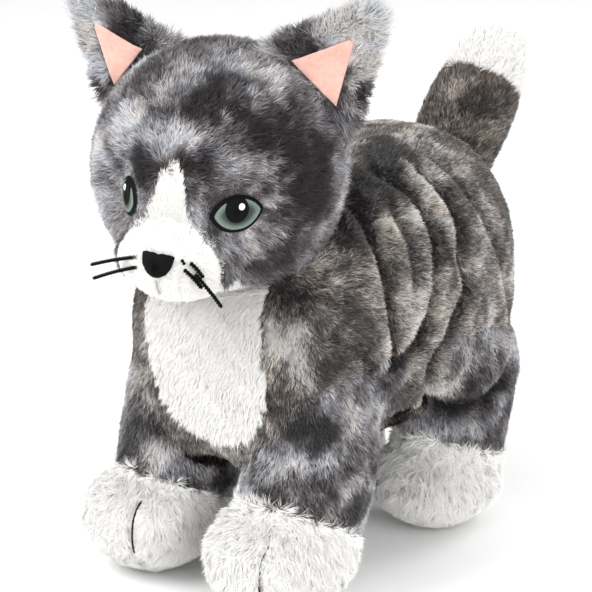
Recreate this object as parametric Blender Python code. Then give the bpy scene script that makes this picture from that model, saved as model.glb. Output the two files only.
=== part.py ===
"""Standing plush cat: sewn fur panels over wadding, with soft joints at the neck, ears, legs and tail."""
import math

import bmesh
import bpy
import numpy as np
from mathutils import Matrix, Vector

# ---- driving dimensions, metres -------------------------------------------------------------
MM = 0.001
SKIN = 2.0 * MM                # fur fabric with its pressed-down pile
SEAM = 0.3 * MM                # gap between neighbouring panels
WADDING_INSET = SKIN + 0.9 * MM
PATCH_LOW = 0.3 * MM           # embroidery starts this far above the fabric
PATCH_HIGH = 1.2 * MM
JOINT_GAP = 0.6 * MM
ROOM = 400.0 * MM              # larger than the whole toy
RECENTRE = Vector((1.391, -3.430, 0.0)) * MM

TORSO_POWER = 2.5
# y, centre height, half width, half height
TORSO_SECTIONS = [
    (-92, 112, 28, 27), (-88, 113, 43, 39), (-78, 116, 55, 51), (-60, 122, 62, 60),
    (-35, 127, 64, 68), (-5, 129, 64, 72), (25, 129, 64, 74), (50, 129, 63, 74),
    (74, 129, 60, 71), (91, 127, 52, 60), (101, 125, 39, 45), (105, 124, 23, 27),
]
# height, half width of the bib from its top down, mm
BIB_OUTLINE = [(190, 27), (165, 31), (145, 36), (124, 37), (105, 34.5), (90, 28), (80, 20), (74, 12)]
BIB_REACHES_BACK = -48.0 * MM
BELLY_HALF_WIDTH = 33.0 * MM
BELLY_TOP = 100.0 * MM
BELLY_FRONT = -80.0 * MM
BELLY_BACK = 93.0 * MM

HEAD_CENTRE = Vector((0.0, -75.0, 207.0)) * MM
HEAD_YAW = math.radians(17.0)
HEAD_RADIUS = 57.0 * MM
HEAD_DETAIL = (20, 13)            # an odd number of bands keeps corners off the middle seam
MUZZLE_DETAIL = (14, 9)
HEAD_BACK_PLANE = 16.0 * MM
BLAZE_REACHES_BACK = -18.0 * MM
MUZZLE_CENTRE = Vector((0.0, -44.0, -30.0)) * MM
MUZZLE_RADII = Vector((28.0, 24.0, 20.0)) * MM
NECK_AXIS = Vector((0.0, 0.67, -0.74)).normalized()
NECK_OPENING = math.radians(36.0)
NECK_PLUG = math.radians(21.0)
NECK_DEPTH = 18.0 * MM
HEAD_CLEARANCE = 1.6 * MM      # between the head's ball and the torso's socket
NOD_RANGE = (-12.0, 12.0)
TURN_RANGE = (-30.0, 13.0)

# height above the head centre, half width of the white blaze and muzzle, from the top down, mm
BLAZE_OUTLINE = [(17, 1.5), (8, 5.5), (-2, 8), (-10, 11), (-18, 19), (-25, 29), (-62, 31)]

EYE_CENTRE = Vector((27.5, -48.5, -7.5)) * MM
EYE_HALF = (13.2 * MM, 9.2 * MM)
EYE_TILT = math.radians(12.0)
EYE_LINE = 1.7 * MM
PUPIL_RADIUS = 5.9 * MM
GLINT_RADIUS = 1.7 * MM
GLINT_SHIFT = (1.4 * MM, 2.6 * MM)
NOSE_OUTLINE = [
    (-7.6, 3.6), (-6.4, 4.9), (0, 5.4), (6.4, 4.9), (7.6, 3.6),
    (5.4, -1.6), (1.9, -5.6), (-1.9, -5.6), (-5.4, -1.6),
]
NOSE_HEIGHT = -31.5 * MM
MOUTH_TOP = -37.6 * MM
MOUTH_BOTTOM = -45.0 * MM
MOUTH_WIDTH = 1.3 * MM
NOSE_REACHES_BACK = -50.0 * MM

WHISKER_RADIUS = 0.5 * MM
WHISKER_BOW = 1.5 * MM
WHISKER_STEPS = 3
# start and end on the left side of the head, mm from the head centre
WHISKERS = [
    ((10.5, -67.2, -26.0), (22.0, -70.0, -33.5), "upper"),
    ((12.5, -66.8, -30.5), (31.0, -69.5, -40.0), "middle"),
    ((10.5, -67.4, -34.5), (33.0, -70.5, -45.5), "lower"),
]

EAR_BASE_FRONT = Vector((24.0, 2.0, 55.5)) * MM
EAR_BASE_BACK = Vector((57.0, 13.0, 20.0)) * MM
EAR_TIP = Vector((74.0, 7.0, 74.0)) * MM
EAR_THICKNESS = 4.6 * MM
EAR_CUP = 7.0 * MM
# share of the ear's height, of its width and of its thickness
EAR_SECTIONS = [
    (0.2, 0.97, 0.95), (0.42, 0.8, 0.85), (0.64, 0.58, 0.75), (0.84, 0.33, 0.65), (0.96, 0.13, 0.45),
]
EAR_RANGE = 18.0
LINING_MARGIN = 0.66
LINING_TOP = 0.72
LINING_LOW = 0.7 * MM
LINING_HIGH = 1.8 * MM
LINING_FOOT = 5.0 * MM
LINING_BLUNT = 1.5 * MM

LEG_SWING = 10.0
LEG_SWING_STEPS = (-LEG_SWING - 0.7, 0.3, LEG_SWING + 0.9)  # a little past both ends, and unequal
LEG_ROOM_FROM = 38.0 * MM      # the leg's own rings above this height need room in the torso
# hinge centre, radius about the hinge, half thickness, shaft sections (z, y, half width, half depth),
# paw centre, paw radii, toe stitch heights, cuff point (y, z) and cuff slope in degrees
FRONT_LEG = {
    "hinge": (40, -55, 92), "round": 33, "half": 26,
    "shaft": [(75, -57, 26, 32), (55, -61, 26, 31), (35, -66, 26, 31), (16, -72, 23, 27)],
    "paw": (40, -80, 23), "paw_radii": (31, 37, 25), "stitch": (9, 33), "cuff": (-68, 38), "slope": 26,
}
HIND_LEG = {
    "hinge": (39, 62, 82), "round": 37, "half": 26,
    "shaft": [(62, 61, 26, 35), (45, 57, 26, 32), (30, 54, 25, 30), (14, 51, 22, 26)],
    "paw": (38, 46, 22), "paw_radii": (29, 33, 23), "stitch": (9, 30), "cuff": (54, 41), "slope": 23,
}
STITCH_SPREAD = 14.0 * MM
STITCH_WIDTH = 1.4 * MM
SOLE_THICKNESS = 2.2 * MM
SOLE_OVERCUT = 0.1 * MM

TAIL_ROOT = Vector((0.0, 98.0, 168.0)) * MM
TAIL_LEAN = math.radians(40.0)
TAIL_ROUND = 19.0 * MM
TAIL_SWING = 25.0
# distance along the tail, half width
TAIL_SECTIONS = [(14, 19), (32, 20), (52, 19.5), (68, 17.5), (80, 13), (85, 7)]
TAIL_TIP_START = 54.0 * MM

COLOURS = {
    "grey": (0.16, 0.15, 0.16), "white": (0.85, 0.84, 0.82), "pink": (0.86, 0.56, 0.48),
    "black": (0.01, 0.01, 0.012), "iris": (0.22, 0.33, 0.29), "wadding": (0.78, 0.78, 0.76),
}

for item in list(bpy.data.objects):
    bpy.data.objects.remove(item, do_unlink=True)
scene = bpy.context.scene
parts = bpy.data.collections.new("Plush cat")
cutters = bpy.data.collections.new("Cutters")
scene.collection.children.link(parts)
scene.collection.children.link(cutters)


# ---- building tools ---------------------------------------------------------------------------
def give_colour(item, colour):
    material = bpy.data.materials.new(item.name)
    material.use_nodes = True
    shader = material.node_tree.nodes["Principled BSDF"]
    shader.inputs["Base Color"].default_value = (*COLOURS[colour], 1.0)
    shader.inputs["Roughness"].default_value = 0.9
    item.data.materials.append(material)


def finish(name, bm, colour=None):
    """Turn a bmesh into a part (with a colour) or a hidden cutter (without)."""
    bmesh.ops.recalc_face_normals(bm, faces=bm.faces)
    mesh = bpy.data.meshes.new(name)
    bm.to_mesh(mesh)
    bm.free()
    item = bpy.data.objects.new(name, mesh)
    if colour is None:
        cutters.objects.link(item)
        item.hide_render = True
        item.display_type = "WIRE"
        return item
    parts.objects.link(item)
    mesh.shade_smooth()
    give_colour(item, colour)
    return item


def rounded(name, centre, radii, power=2.0, inset=0.0, place=None, floor=None, detail=(24, 12), colour=None):
    """Superellipsoid made from a sphere with its poles at the sides; floor flattens what is below it."""
    bm = bmesh.new()
    poles = Matrix.Rotation(math.radians(90.0), 4, "Y")
    bmesh.ops.create_uvsphere(bm, u_segments=detail[0], v_segments=detail[1], radius=1.0, matrix=poles)
    size = [r - inset for r in radii]
    for vert in bm.verts:
        n = vert.co.normalized()
        reach = sum((abs(n[i]) / size[i]) ** power for i in range(3)) ** (-1.0 / power)
        point = n * reach + Vector(centre)
        if place is not None:
            point = place @ point
        if floor is not None:
            point.z = max(point.z, floor)
        vert.co = point
    return finish(name, bm, colour)


def loft(name, rings, colour=None):
    """Closed skin over unlike sections, each end closed to its middle."""
    bm = bmesh.new()
    rows = [[bm.verts.new(point) for point in ring] for ring in rings]
    count = len(rows[0])
    for low, high in zip(rows[:-1], rows[1:]):
        for i in range(count):
            j = (i + 1) % count
            bm.faces.new((low[i], low[j], high[j], high[i]))
    for row, order in ((rows[0], 1), (rows[-1], -1)):
        middle = bm.verts.new(sum((v.co for v in row), Vector()) / count)
        for i in range(count):
            j = (i + 1) % count
            bm.faces.new((row[i], row[j], middle)[::order])
    return finish(name, bm, colour)


def block(name, low, high, place=None):
    bm = bmesh.new()
    bmesh.ops.create_cube(bm, size=1.0)
    low = Vector(low)
    high = Vector(high)
    for vert in bm.verts:
        point = Vector([low[i] + (vert.co[i] + 0.5) * (high[i] - low[i]) for i in range(3)])
        vert.co = place @ point if place is not None else point
    return finish(name, bm)


def prism(name, outline, frame, near, far):
    """Outline in the frame's x and z, pushed along the frame's y from near to far."""
    bm = bmesh.new()
    face = bm.faces.new([bm.verts.new(frame @ Vector((x, near, z))) for x, z in outline])
    moved = bmesh.ops.extrude_face_region(bm, geom=[face])["geom"]
    push = frame.to_3x3() @ Vector((0.0, far - near, 0.0))
    bmesh.ops.translate(bm, vec=push, verts=[v for v in moved if isinstance(v, bmesh.types.BMVert)])
    return finish(name, bm)


def oval(half_x, half_z, power=2.0, count=20, shift=(0.0, 0.0)):
    points = []
    for i in range(count):
        a = 2.0 * math.pi * (i + 0.5) / count
        c = math.cos(a)
        s = math.sin(a)
        x = half_x * math.copysign(abs(c) ** (2.0 / power), c)
        z = half_z * math.copysign(abs(s) ** (2.0 / power), s)
        points.append((x + shift[0], z + shift[1]))
    return points


def swept_hull(name, points, centre, axis, angles, grow):
    """Convex room that holds the points, grown a little, at every angle of a hinge."""
    middle = sum(points, Vector()) / len(points)
    bm = bmesh.new()
    for angle in angles:
        turn = Matrix.Rotation(math.radians(angle), 3, axis)
        for point in points:
            away = (point - middle).normalized() * grow
            bm.verts.new(centre + turn @ (point + away - centre))
    bmesh.ops.convex_hull(bm, input=bm.verts)
    loose = [v for v in bm.verts if not v.link_faces]
    bmesh.ops.delete(bm, geom=loose, context="VERTS")
    return finish(name, bm)


def shape(item, operation, *tools):
    for tool in tools:
        modifier = item.modifiers.new(tool.name, "BOOLEAN")
        modifier.operation = operation
        modifier.solver = "EXACT"
        modifier.object = tool
    return item


def mirrored_outline(levels, spare=0.0):
    """Closed outline from (height, half width) pairs, top first; spare makes it wider and longer."""
    points = [[half * MM + spare, height * MM] for height, half in levels]
    points[0][1] += spare
    points[-1][1] -= spare
    return points + [(-x, z) for x, z in points[::-1]]


def copy_of(item, name, colour):
    """A new part with the same mesh and the same modifiers as a form."""
    bm = bmesh.new()
    bm.from_mesh(item.data)
    twin = finish(name, bm, colour)
    for old in item.modifiers:
        new = twin.modifiers.new(old.name, "BOOLEAN")
        new.operation = old.operation
        new.solver = "EXACT"
        new.object = old.object
    return twin


def tilted_frame(point, slope):
    return Matrix.Translation(point) @ Matrix.Rotation(slope, 4, "X")


# ---- forms of the legs ------------------------------------------------------------------------
def leg_rings(data, side, inset, count=12):
    """Upper rings turn about the hinge line, lower rings follow the leg down into the paw."""
    x, y, z = data["hinge"]
    inset = inset / MM
    rings = []
    for degrees in (78, 52, 26, 0):
        a = math.radians(degrees)
        round_radius = data["round"] - inset
        level = z + round_radius * math.sin(a)
        rings.append((level, y, (data["half"] - inset) * math.cos(a), round_radius * math.cos(a)))
    for level, middle, half_width, half_depth in data["shaft"]:
        rings.append((level, middle, half_width - inset, half_depth - inset))
    points = []
    for level, middle, half_width, half_depth in rings:
        ring = []
        for i in range(count):
            a = 2.0 * math.pi * i / count
            px = (x + half_width * math.cos(a)) * side
            ring.append(Vector((px, middle + half_depth * math.sin(a), level)) * MM)
        points.append(ring)
    return points


def mirrored(point, side):
    return Vector((point[0] * side, point[1], point[2]))


leg_rooms = []
for place_name, data in (("front", FRONT_LEG), ("hind", HIND_LEG)):
    for side_name, side in (("left", 1.0), ("right", -1.0)):
        tag = f"{place_name}_{side_name}"
        outer = loft(f"leg_form_{tag}", leg_rings(data, side, 0.0))
        inner = loft(f"leg_hollow_{tag}", leg_rings(data, side, SKIN))
        core = loft(f"leg_core_{tag}", leg_rings(data, side, WADDING_INSET))
        centre = mirrored(data["paw"], side) * MM
        radii = [r * MM for r in data["paw_radii"]]
        foot = {"power": 2.3, "detail": (14, 9)}
        paw = rounded(f"paw_form_{tag}", centre, radii, floor=0.0, **foot)
        hollow_floor = SOLE_THICKNESS + SEAM
        cut_floor = hollow_floor - SOLE_OVERCUT
        paw_hollow = rounded(f"paw_hollow_{tag}", centre, radii, inset=SKIN, floor=cut_floor, **foot)
        paw_core = rounded(f"paw_core_{tag}", centre, radii, inset=WADDING_INSET, floor=hollow_floor, **foot)
        shape(outer, "UNION", paw)
        shape(inner, "UNION", paw_hollow)
        shape(core, "UNION", paw_core)
        cuff_y, cuff_z = data["cuff"]
        cuff = tilted_frame(Vector((0.0, cuff_y * MM, cuff_z * MM)), math.radians(-data["slope"]))
        half_gap = SEAM / 2.0
        above = block(f"above_cuff_{tag}", (-ROOM, -ROOM, half_gap), (ROOM, ROOM, ROOM), cuff)
        below = block(f"below_cuff_{tag}", (-ROOM, -ROOM, -ROOM), (ROOM, ROOM, -half_gap), cuff)
        over_sole = block(f"over_sole_{tag}", (-ROOM, -ROOM, hollow_floor), (ROOM, ROOM, ROOM))
        sole_zone = block(f"sole_zone_{tag}", (-ROOM, -ROOM, -ROOM), (ROOM, ROOM, SOLE_THICKNESS))

        upper = shape(copy_of(outer, f"leg_{tag}", "grey"), "INTERSECT", above)
        shape(upper, "DIFFERENCE", inner)
        paw_part = shape(copy_of(outer, f"paw_{tag}", "white"), "INTERSECT", below, over_sole)
        shape(paw_part, "DIFFERENCE", inner)
        shape(copy_of(outer, f"paw_base_{tag}", "white"), "INTERSECT", sole_zone)
        copy_of(core, f"leg_wadding_{tag}", "wadding")

        low = rounded(f"stitch_low_{tag}", centre, radii, inset=-PATCH_LOW, **foot)
        start, end = data["stitch"]
        for toe, shift in (("inner", -STITCH_SPREAD), ("outer", STITCH_SPREAD)):
            x_mid = data["paw"][0] * side * MM + shift * side
            strip = block(
                f"stitch_zone_{toe}_{tag}",
                (x_mid - STITCH_WIDTH / 2.0, -ROOM, start * MM),
                (x_mid + STITCH_WIDTH / 2.0, data["paw"][1] * MM, end * MM),
            )
            name = f"toe_stitch_{toe}_{tag}"
            stitch = rounded(name, centre, radii, inset=-PATCH_HIGH, colour="black", **foot)
            shape(stitch, "INTERSECT", strip)
            shape(stitch, "DIFFERENCE", low)

        rings = leg_rings(data, side, 0.0)
        reach = [p for ring in rings for p in ring if p.z > LEG_ROOM_FROM]
        hinge = mirrored(data["hinge"], side) * MM
        leg_rooms.append(swept_hull(f"leg_room_{tag}", reach, hinge, "X", LEG_SWING_STEPS, JOINT_GAP))

# ---- form of the tail ---------------------------------------------------------------------------
TAIL = Matrix.Translation(TAIL_ROOT) @ Matrix.Rotation(-TAIL_LEAN, 4, "X")


def tail_rings(inset, count=12):
    """Rings along the tail's own z, with a ball about the hinge at the root."""
    levels = []
    for degrees in (-80, -55, -28, 0):
        a = math.radians(degrees)
        levels.append(((TAIL_ROUND - inset) * math.sin(a), (TAIL_ROUND - inset) * math.cos(a)))
    last = TAIL_SECTIONS[-1][0]
    for distance, half_width in TAIL_SECTIONS:
        pull = inset if distance == last else 0.0
        levels.append((distance * MM - pull, half_width * MM - inset))
    rings = []
    for level, radius in levels:
        ring = []
        for i in range(count):
            a = 2.0 * math.pi * i / count
            ring.append(TAIL @ Vector((radius * math.cos(a), radius * math.sin(a), level)))
        rings.append(ring)
    return rings


tail_form = loft("tail_form", tail_rings(0.0))
tail_hollow = loft("tail_hollow", tail_rings(SKIN))
tail_swing = (-TAIL_SWING, -TAIL_SWING / 2.0, 0.0, TAIL_SWING / 2.0, TAIL_SWING)
tail_points = [point for ring in tail_rings(0.0)[:6] for point in ring]
tail_room = swept_hull("tail_room", tail_points, TAIL_ROOT, "X", tail_swing, JOINT_GAP)
tail_low = block("tail_low", (-ROOM, -ROOM, -ROOM), (ROOM, ROOM, TAIL_TIP_START - SEAM / 2.0), TAIL)
tail_high = block("tail_high", (-ROOM, -ROOM, TAIL_TIP_START + SEAM / 2.0), (ROOM, ROOM, ROOM), TAIL)
tube = shape(copy_of(tail_form, "tail_tube", "grey"), "INTERSECT", tail_low)
shape(tube, "DIFFERENCE", tail_hollow)
tip = shape(copy_of(tail_form, "tail_tip", "white"), "INTERSECT", tail_high)
shape(tip, "DIFFERENCE", tail_hollow)
loft("tail_wadding", tail_rings(WADDING_INSET), "wadding")

# ---- forms of the head ----------------------------------------------------------------------------
HEAD = Matrix.Translation(HEAD_CENTRE) @ Matrix.Rotation(HEAD_YAW, 4, "Z")
ORIGIN = Vector((0.0, 0.0, 0.0))
BALL = [HEAD_RADIUS] * 3


def muzzle_form(name, inset, colour=None):
    return rounded(
        name, MUZZLE_CENTRE, MUZZLE_RADII, inset=inset, place=HEAD, detail=MUZZLE_DETAIL, colour=colour
    )


def head_layer(name, inset, colour=None):
    """The round head joined to its muzzle, at one depth of the skin."""
    ball = rounded(name, ORIGIN, BALL, inset=inset, place=HEAD, detail=HEAD_DETAIL, colour=colour)
    return shape(ball, "UNION", muzzle_form(f"{name}_muzzle", inset))


def cone_room(name, half_angle, inner, outer, colour=None, count=12):
    """Part of a ball within half_angle of the neck line, between two radii."""
    to_neck = NECK_AXIS.to_track_quat("Z", "Y").to_matrix().to_4x4()
    steps = 2
    rings = []
    for radius, fractions in ((inner, range(1, steps + 1)), (outer, range(steps, 0, -1))):
        for k in fractions:
            a = half_angle * k / steps
            ring = []
            for i in range(count):
                b = 2.0 * math.pi * i / count
                flat = radius * math.sin(a)
                local = Vector((flat * math.cos(b), flat * math.sin(b), radius * math.cos(a)))
                ring.append(HEAD_CENTRE + (to_neck @ local))
            rings.append(ring)
    return loft(name, rings, colour)


blaze_zone = prism("blaze_zone", mirrored_outline(BLAZE_OUTLINE), HEAD, -ROOM, BLAZE_REACHES_BACK)
blaze_wide = mirrored_outline(BLAZE_OUTLINE, SEAM)
blaze_room = prism("blaze_room", blaze_wide, HEAD, -ROOM, BLAZE_REACHES_BACK + SEAM)
front_zone = block("front_zone", (-ROOM, -ROOM, -ROOM), (ROOM, HEAD_BACK_PLANE - SEAM / 2.0, ROOM), HEAD)
back_zone = block("back_zone", (-ROOM, HEAD_BACK_PLANE + SEAM / 2.0, -ROOM), (ROOM, ROOM, ROOM), HEAD)
face_zones = {
    "left": block("face_left_zone", (SEAM / 2.0, -ROOM, -ROOM), (ROOM, ROOM, ROOM), HEAD),
    "right": block("face_right_zone", (-ROOM, -ROOM, -ROOM), (-SEAM / 2.0, ROOM, ROOM), HEAD),
}
head_hollow = head_layer("head_hollow", SKIN)
neck_room = cone_room("neck_room", NECK_OPENING, HEAD_RADIUS - NECK_DEPTH - JOINT_GAP, HEAD_RADIUS * 1.3)

# ---- ears -------------------------------------------------------------------------------------------
ear_rooms = []
for side_name, side in (("left", 1.0), ("right", -1.0)):
    front = mirrored(EAR_BASE_FRONT, side)
    back = mirrored(EAR_BASE_BACK, side)
    peak = mirrored(EAR_TIP, side)
    middle = (front + back) / 2.0
    along = (back - front).normalized()
    rise = peak - middle
    rise = rise - along * rise.dot(along)
    height = rise.length
    rise.normalize()
    facing = rise.cross(along) * side
    half_base = (back - front).length / 2.0
    lean = (peak - middle).dot(along)
    frame = Matrix((
        (along.x, facing.x, rise.x, middle.x),
        (along.y, facing.y, rise.y, middle.y),
        (along.z, facing.z, rise.z, middle.z),
        (0.0, 0.0, 0.0, 1.0),
    ))
    frame = HEAD @ frame

    def ear_rings(grow, count=12):
        levels = []
        for degrees in (-75, -40, 0):
            a = math.radians(degrees)
            levels.append((EAR_THICKNESS * math.sin(a), half_base, EAR_THICKNESS * math.cos(a)))
        for share, width, thick in EAR_SECTIONS:
            levels.append((height * share, half_base * width, EAR_THICKNESS * thick))
        rings = []
        for level, wide_half, thick in levels:
            ring = []
            for i in range(count):
                a = 2.0 * math.pi * i / count
                u = (wide_half + grow) * math.cos(a)
                depth = (thick + grow) * math.sin(a)
                cup = EAR_CUP * (u / half_base) ** 2 * min(1.0, max(level, 0.0) / (0.3 * height))
                slide = lean * max(level, 0.0) / height
                ring.append(frame @ Vector((u + slide, depth - cup, level)))
            rings.append(ring)
        return rings

    loft(f"ear_{side_name}", ear_rings(0.0), "grey")
    lining = loft(f"ear_lining_{side_name}", ear_rings(LINING_HIGH), "pink")
    ear_grown = loft(f"ear_grown_{side_name}", ear_rings(LINING_LOW))
    base = half_base * LINING_MARGIN
    peak_x = lean * LINING_TOP
    peak_z = height * LINING_TOP
    foot_line = [(-base, LINING_FOOT), (base, LINING_FOOT)]
    outline = [*foot_line, (peak_x + LINING_BLUNT, peak_z), (peak_x - LINING_BLUNT, peak_z)]
    lining_zone = prism(f"lining_zone_{side_name}", outline, frame, -40.0 * MM, -1.0 * MM)
    shape(lining, "INTERSECT", lining_zone)
    shape(lining, "DIFFERENCE", ear_grown)
    low_points = [point for ring in ear_rings(0.0)[:4] for point in ring]
    axis = (HEAD.to_3x3() @ along).normalized()
    swing = (-EAR_RANGE, 0.0, EAR_RANGE)
    ear_rooms.append(swept_hull(f"ear_room_{side_name}", low_points, HEAD @ middle, axis, swing, JOINT_GAP))

for side_name in ("left", "right"):
    panel = head_layer(f"face_{side_name}", 0.0, "grey")
    shape(panel, "INTERSECT", front_zone, face_zones[side_name])
    shape(panel, "DIFFERENCE", head_hollow, blaze_room, neck_room, *ear_rooms)
    panel = head_layer(f"head_back_{side_name}", 0.0, "grey")
    shape(panel, "INTERSECT", back_zone, face_zones[side_name])
    shape(panel, "DIFFERENCE", head_hollow, neck_room, *ear_rooms)
muzzle = head_layer("blaze_and_muzzle", 0.0, "white")
shape(muzzle, "INTERSECT", blaze_zone)
shape(muzzle, "DIFFERENCE", head_hollow, neck_room)
stuffing = head_layer("head_wadding", WADDING_INSET, "wadding")
shape(stuffing, "DIFFERENCE", neck_room, *ear_rooms)
cone_room("neck_wadding", NECK_PLUG, HEAD_RADIUS - NECK_DEPTH, HEAD_RADIUS, "wadding")

# ---- embroidery, nose, mouth and whiskers ------------------------------------------------------------
over_fabric = rounded("over_fabric", ORIGIN, BALL, inset=-PATCH_LOW, place=HEAD, detail=HEAD_DETAIL)


def eye_piece(name, side, colour, outer_line, inner_line):
    """A patch of satin stitch between two outlines, lying just above the fabric."""
    spot = mirrored(EYE_CENTRE, side)
    out = spot.normalized()
    across = Vector((0.0, 0.0, 1.0)).cross(out).normalized() * side
    up = out.cross(across) * side
    frame = HEAD @ Matrix((
        (across.x, out.x, up.x, spot.x), (across.y, out.y, up.y, spot.y),
        (across.z, out.z, up.z, spot.z), (0.0, 0.0, 0.0, 1.0),
    ))
    patch = rounded(name, ORIGIN, BALL, inset=-PATCH_HIGH, place=HEAD, detail=HEAD_DETAIL, colour=colour)
    shape(patch, "INTERSECT", prism(f"{name}_zone", outer_line, frame, -20.0 * MM, 20.0 * MM))
    shape(patch, "DIFFERENCE", over_fabric)
    if inner_line:
        shape(patch, "DIFFERENCE", prism(f"{name}_hole", inner_line, frame, -22.0 * MM, 22.0 * MM))


def almond(shrink):
    """Eye outline: two arcs that meet in a point at each corner."""
    half_x = EYE_HALF[0] - shrink * 1.6
    half_z = EYE_HALF[1] - shrink
    count = 7
    upper = []
    for i in range(count + 1):
        x = -1.0 + 2.0 * i / count
        upper.append((x * half_x, half_z * (1.0 - abs(x) ** 2.2)))
    lower = [(x, -z) for x, z in upper[-2:0:-1]]
    cos_tilt = math.cos(EYE_TILT)
    sin_tilt = math.sin(EYE_TILT)
    turned = []
    for x, z in upper + lower:
        turned.append((x * cos_tilt - z * sin_tilt, x * sin_tilt + z * cos_tilt))
    return turned


for side_name, side in (("left", 1.0), ("right", -1.0)):
    glint = oval(GLINT_RADIUS, GLINT_RADIUS, count=6, shift=GLINT_SHIFT)
    glint_room = oval(GLINT_RADIUS + SEAM, GLINT_RADIUS + SEAM, count=6, shift=GLINT_SHIFT)
    pupil = oval(PUPIL_RADIUS, PUPIL_RADIUS, count=10)
    pupil_room = oval(PUPIL_RADIUS + SEAM, PUPIL_RADIUS + SEAM, count=10)
    eye_piece(f"eye_outline_{side_name}", side, "black", almond(0.0), almond(EYE_LINE))
    eye_piece(f"eye_iris_{side_name}", side, "iris", almond(EYE_LINE + SEAM), pupil_room)
    eye_piece(f"eye_pupil_{side_name}", side, "black", pupil, glint_room)
    eye_piece(f"eye_glint_{side_name}", side, "white", glint, None)

under_patch = muzzle_form("under_patch", -PATCH_LOW)
nose_line = [(x * MM, z * MM + NOSE_HEIGHT) for x, z in NOSE_OUTLINE]
mouth_half = MOUTH_WIDTH / 2.0
mouth_foot = [(-mouth_half, MOUTH_BOTTOM), (mouth_half, MOUTH_BOTTOM)]
mouth_line = [*mouth_foot, (mouth_half, MOUTH_TOP), (-mouth_half, MOUTH_TOP)]
for name, outline in (("nose", nose_line), ("mouth_stitch", mouth_line)):
    patch = muzzle_form(name, -PATCH_HIGH, "black")
    shape(patch, "INTERSECT", prism(f"{name}_zone", outline, HEAD, -ROOM, NOSE_REACHES_BACK))
    shape(patch, "DIFFERENCE", under_patch)

for side_name, side in (("left", 1.0), ("right", -1.0)):
    for start, end, level in WHISKERS:
        root = HEAD @ (mirrored(start, side) * MM)
        free_end = HEAD @ (mirrored(end, side) * MM)
        cord = bpy.data.curves.new(f"whisker_{level}_{side_name}", "CURVE")
        cord.dimensions = "3D"
        cord.bevel_depth = WHISKER_RADIUS
        cord.bevel_resolution = 1
        cord.use_fill_caps = True
        spline = cord.splines.new("POLY")
        spline.points.add(WHISKER_STEPS)
        for step in range(WHISKER_STEPS + 1):
            share = step / WHISKER_STEPS
            bow = Vector((0.0, 0.0, WHISKER_BOW * math.sin(math.pi * share)))
            spline.points[step].co = (*(root.lerp(free_end, share) + bow), 1.0)
        whisker = bpy.data.objects.new(cord.name, cord)
        parts.objects.link(whisker)
        give_colour(whisker, "black")

# ---- torso ---------------------------------------------------------------------------------------------
def torso_rings(inset, count=20):
    rings = []
    last = len(TORSO_SECTIONS) - 1
    for k, (y, z, half_width, half_height) in enumerate(TORSO_SECTIONS):
        shift = inset if k == 0 else (-inset if k == last else 0.0)
        line = oval(half_width * MM - inset, half_height * MM - inset, TORSO_POWER, count)
        rings.append([Vector((px, y * MM + shift, z * MM + pz)) for px, pz in line])
    return rings


torso_form = loft("torso_form", torso_rings(0.0))
torso_hollow = loft("torso_hollow", torso_rings(SKIN))
muzzle_points = [Vector(vert.co) for vert in under_patch.data.vertices]
turns = (TURN_RANGE[0], TURN_RANGE[0] / 2.0, 0.0, TURN_RANGE[1])
muzzle_sweep = []
for nod in (NOD_RANGE[0], 0.0, NOD_RANGE[1]):
    for turn in turns:
        spin = Matrix.Rotation(math.radians(turn), 3, "Z") @ Matrix.Rotation(math.radians(nod), 3, "X")
        muzzle_sweep += [HEAD_CENTRE + spin @ (point - HEAD_CENTRE) for point in muzzle_points]
muzzle_room = swept_hull("muzzle_room", muzzle_sweep, HEAD_CENTRE, "Z", (0.0,), JOINT_GAP)
head_room = rounded("head_room", HEAD_CENTRE, [HEAD_RADIUS + HEAD_CLEARANCE] * 3, detail=(28, 14))
WORLD = Matrix.Identity(4)
bib_zone = prism("bib_zone", mirrored_outline(BIB_OUTLINE), WORLD, -ROOM, BIB_REACHES_BACK)
bib_wide = mirrored_outline(BIB_OUTLINE, SEAM)
bib_room = prism("bib_room", bib_wide, WORLD, -ROOM, BIB_REACHES_BACK + SEAM)
belly_low = (-BELLY_HALF_WIDTH, BELLY_FRONT, -ROOM)
belly_high = (BELLY_HALF_WIDTH, BELLY_BACK, BELLY_TOP)
gap = Vector((SEAM, SEAM, SEAM))
belly_zone = block("belly_zone", belly_low, belly_high)
belly_room = block("belly_room", Vector(belly_low) - gap, Vector(belly_high) + gap)
openings = [*leg_rooms, head_room, muzzle_room, tail_room]
for side_name, low_x, high_x in (("left", SEAM / 2.0, ROOM), ("right", -ROOM, -SEAM / 2.0)):
    half = block(f"torso_half_{side_name}", (low_x, -ROOM, -ROOM), (high_x, ROOM, ROOM))
    panel = shape(copy_of(torso_form, f"torso_{side_name}", "grey"), "INTERSECT", half)
    shape(panel, "DIFFERENCE", torso_hollow, belly_room, bib_room, *openings)
belly = shape(copy_of(torso_form, "belly", "grey"), "INTERSECT", belly_zone)
shape(belly, "DIFFERENCE", torso_hollow, bib_room, *openings)
bib = shape(copy_of(torso_form, "chest_bib", "white"), "INTERSECT", bib_zone)
shape(bib, "DIFFERENCE", torso_hollow, *openings)
core = loft("torso_wadding", torso_rings(WADDING_INSET), "wadding")
shape(core, "DIFFERENCE", *openings)

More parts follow.
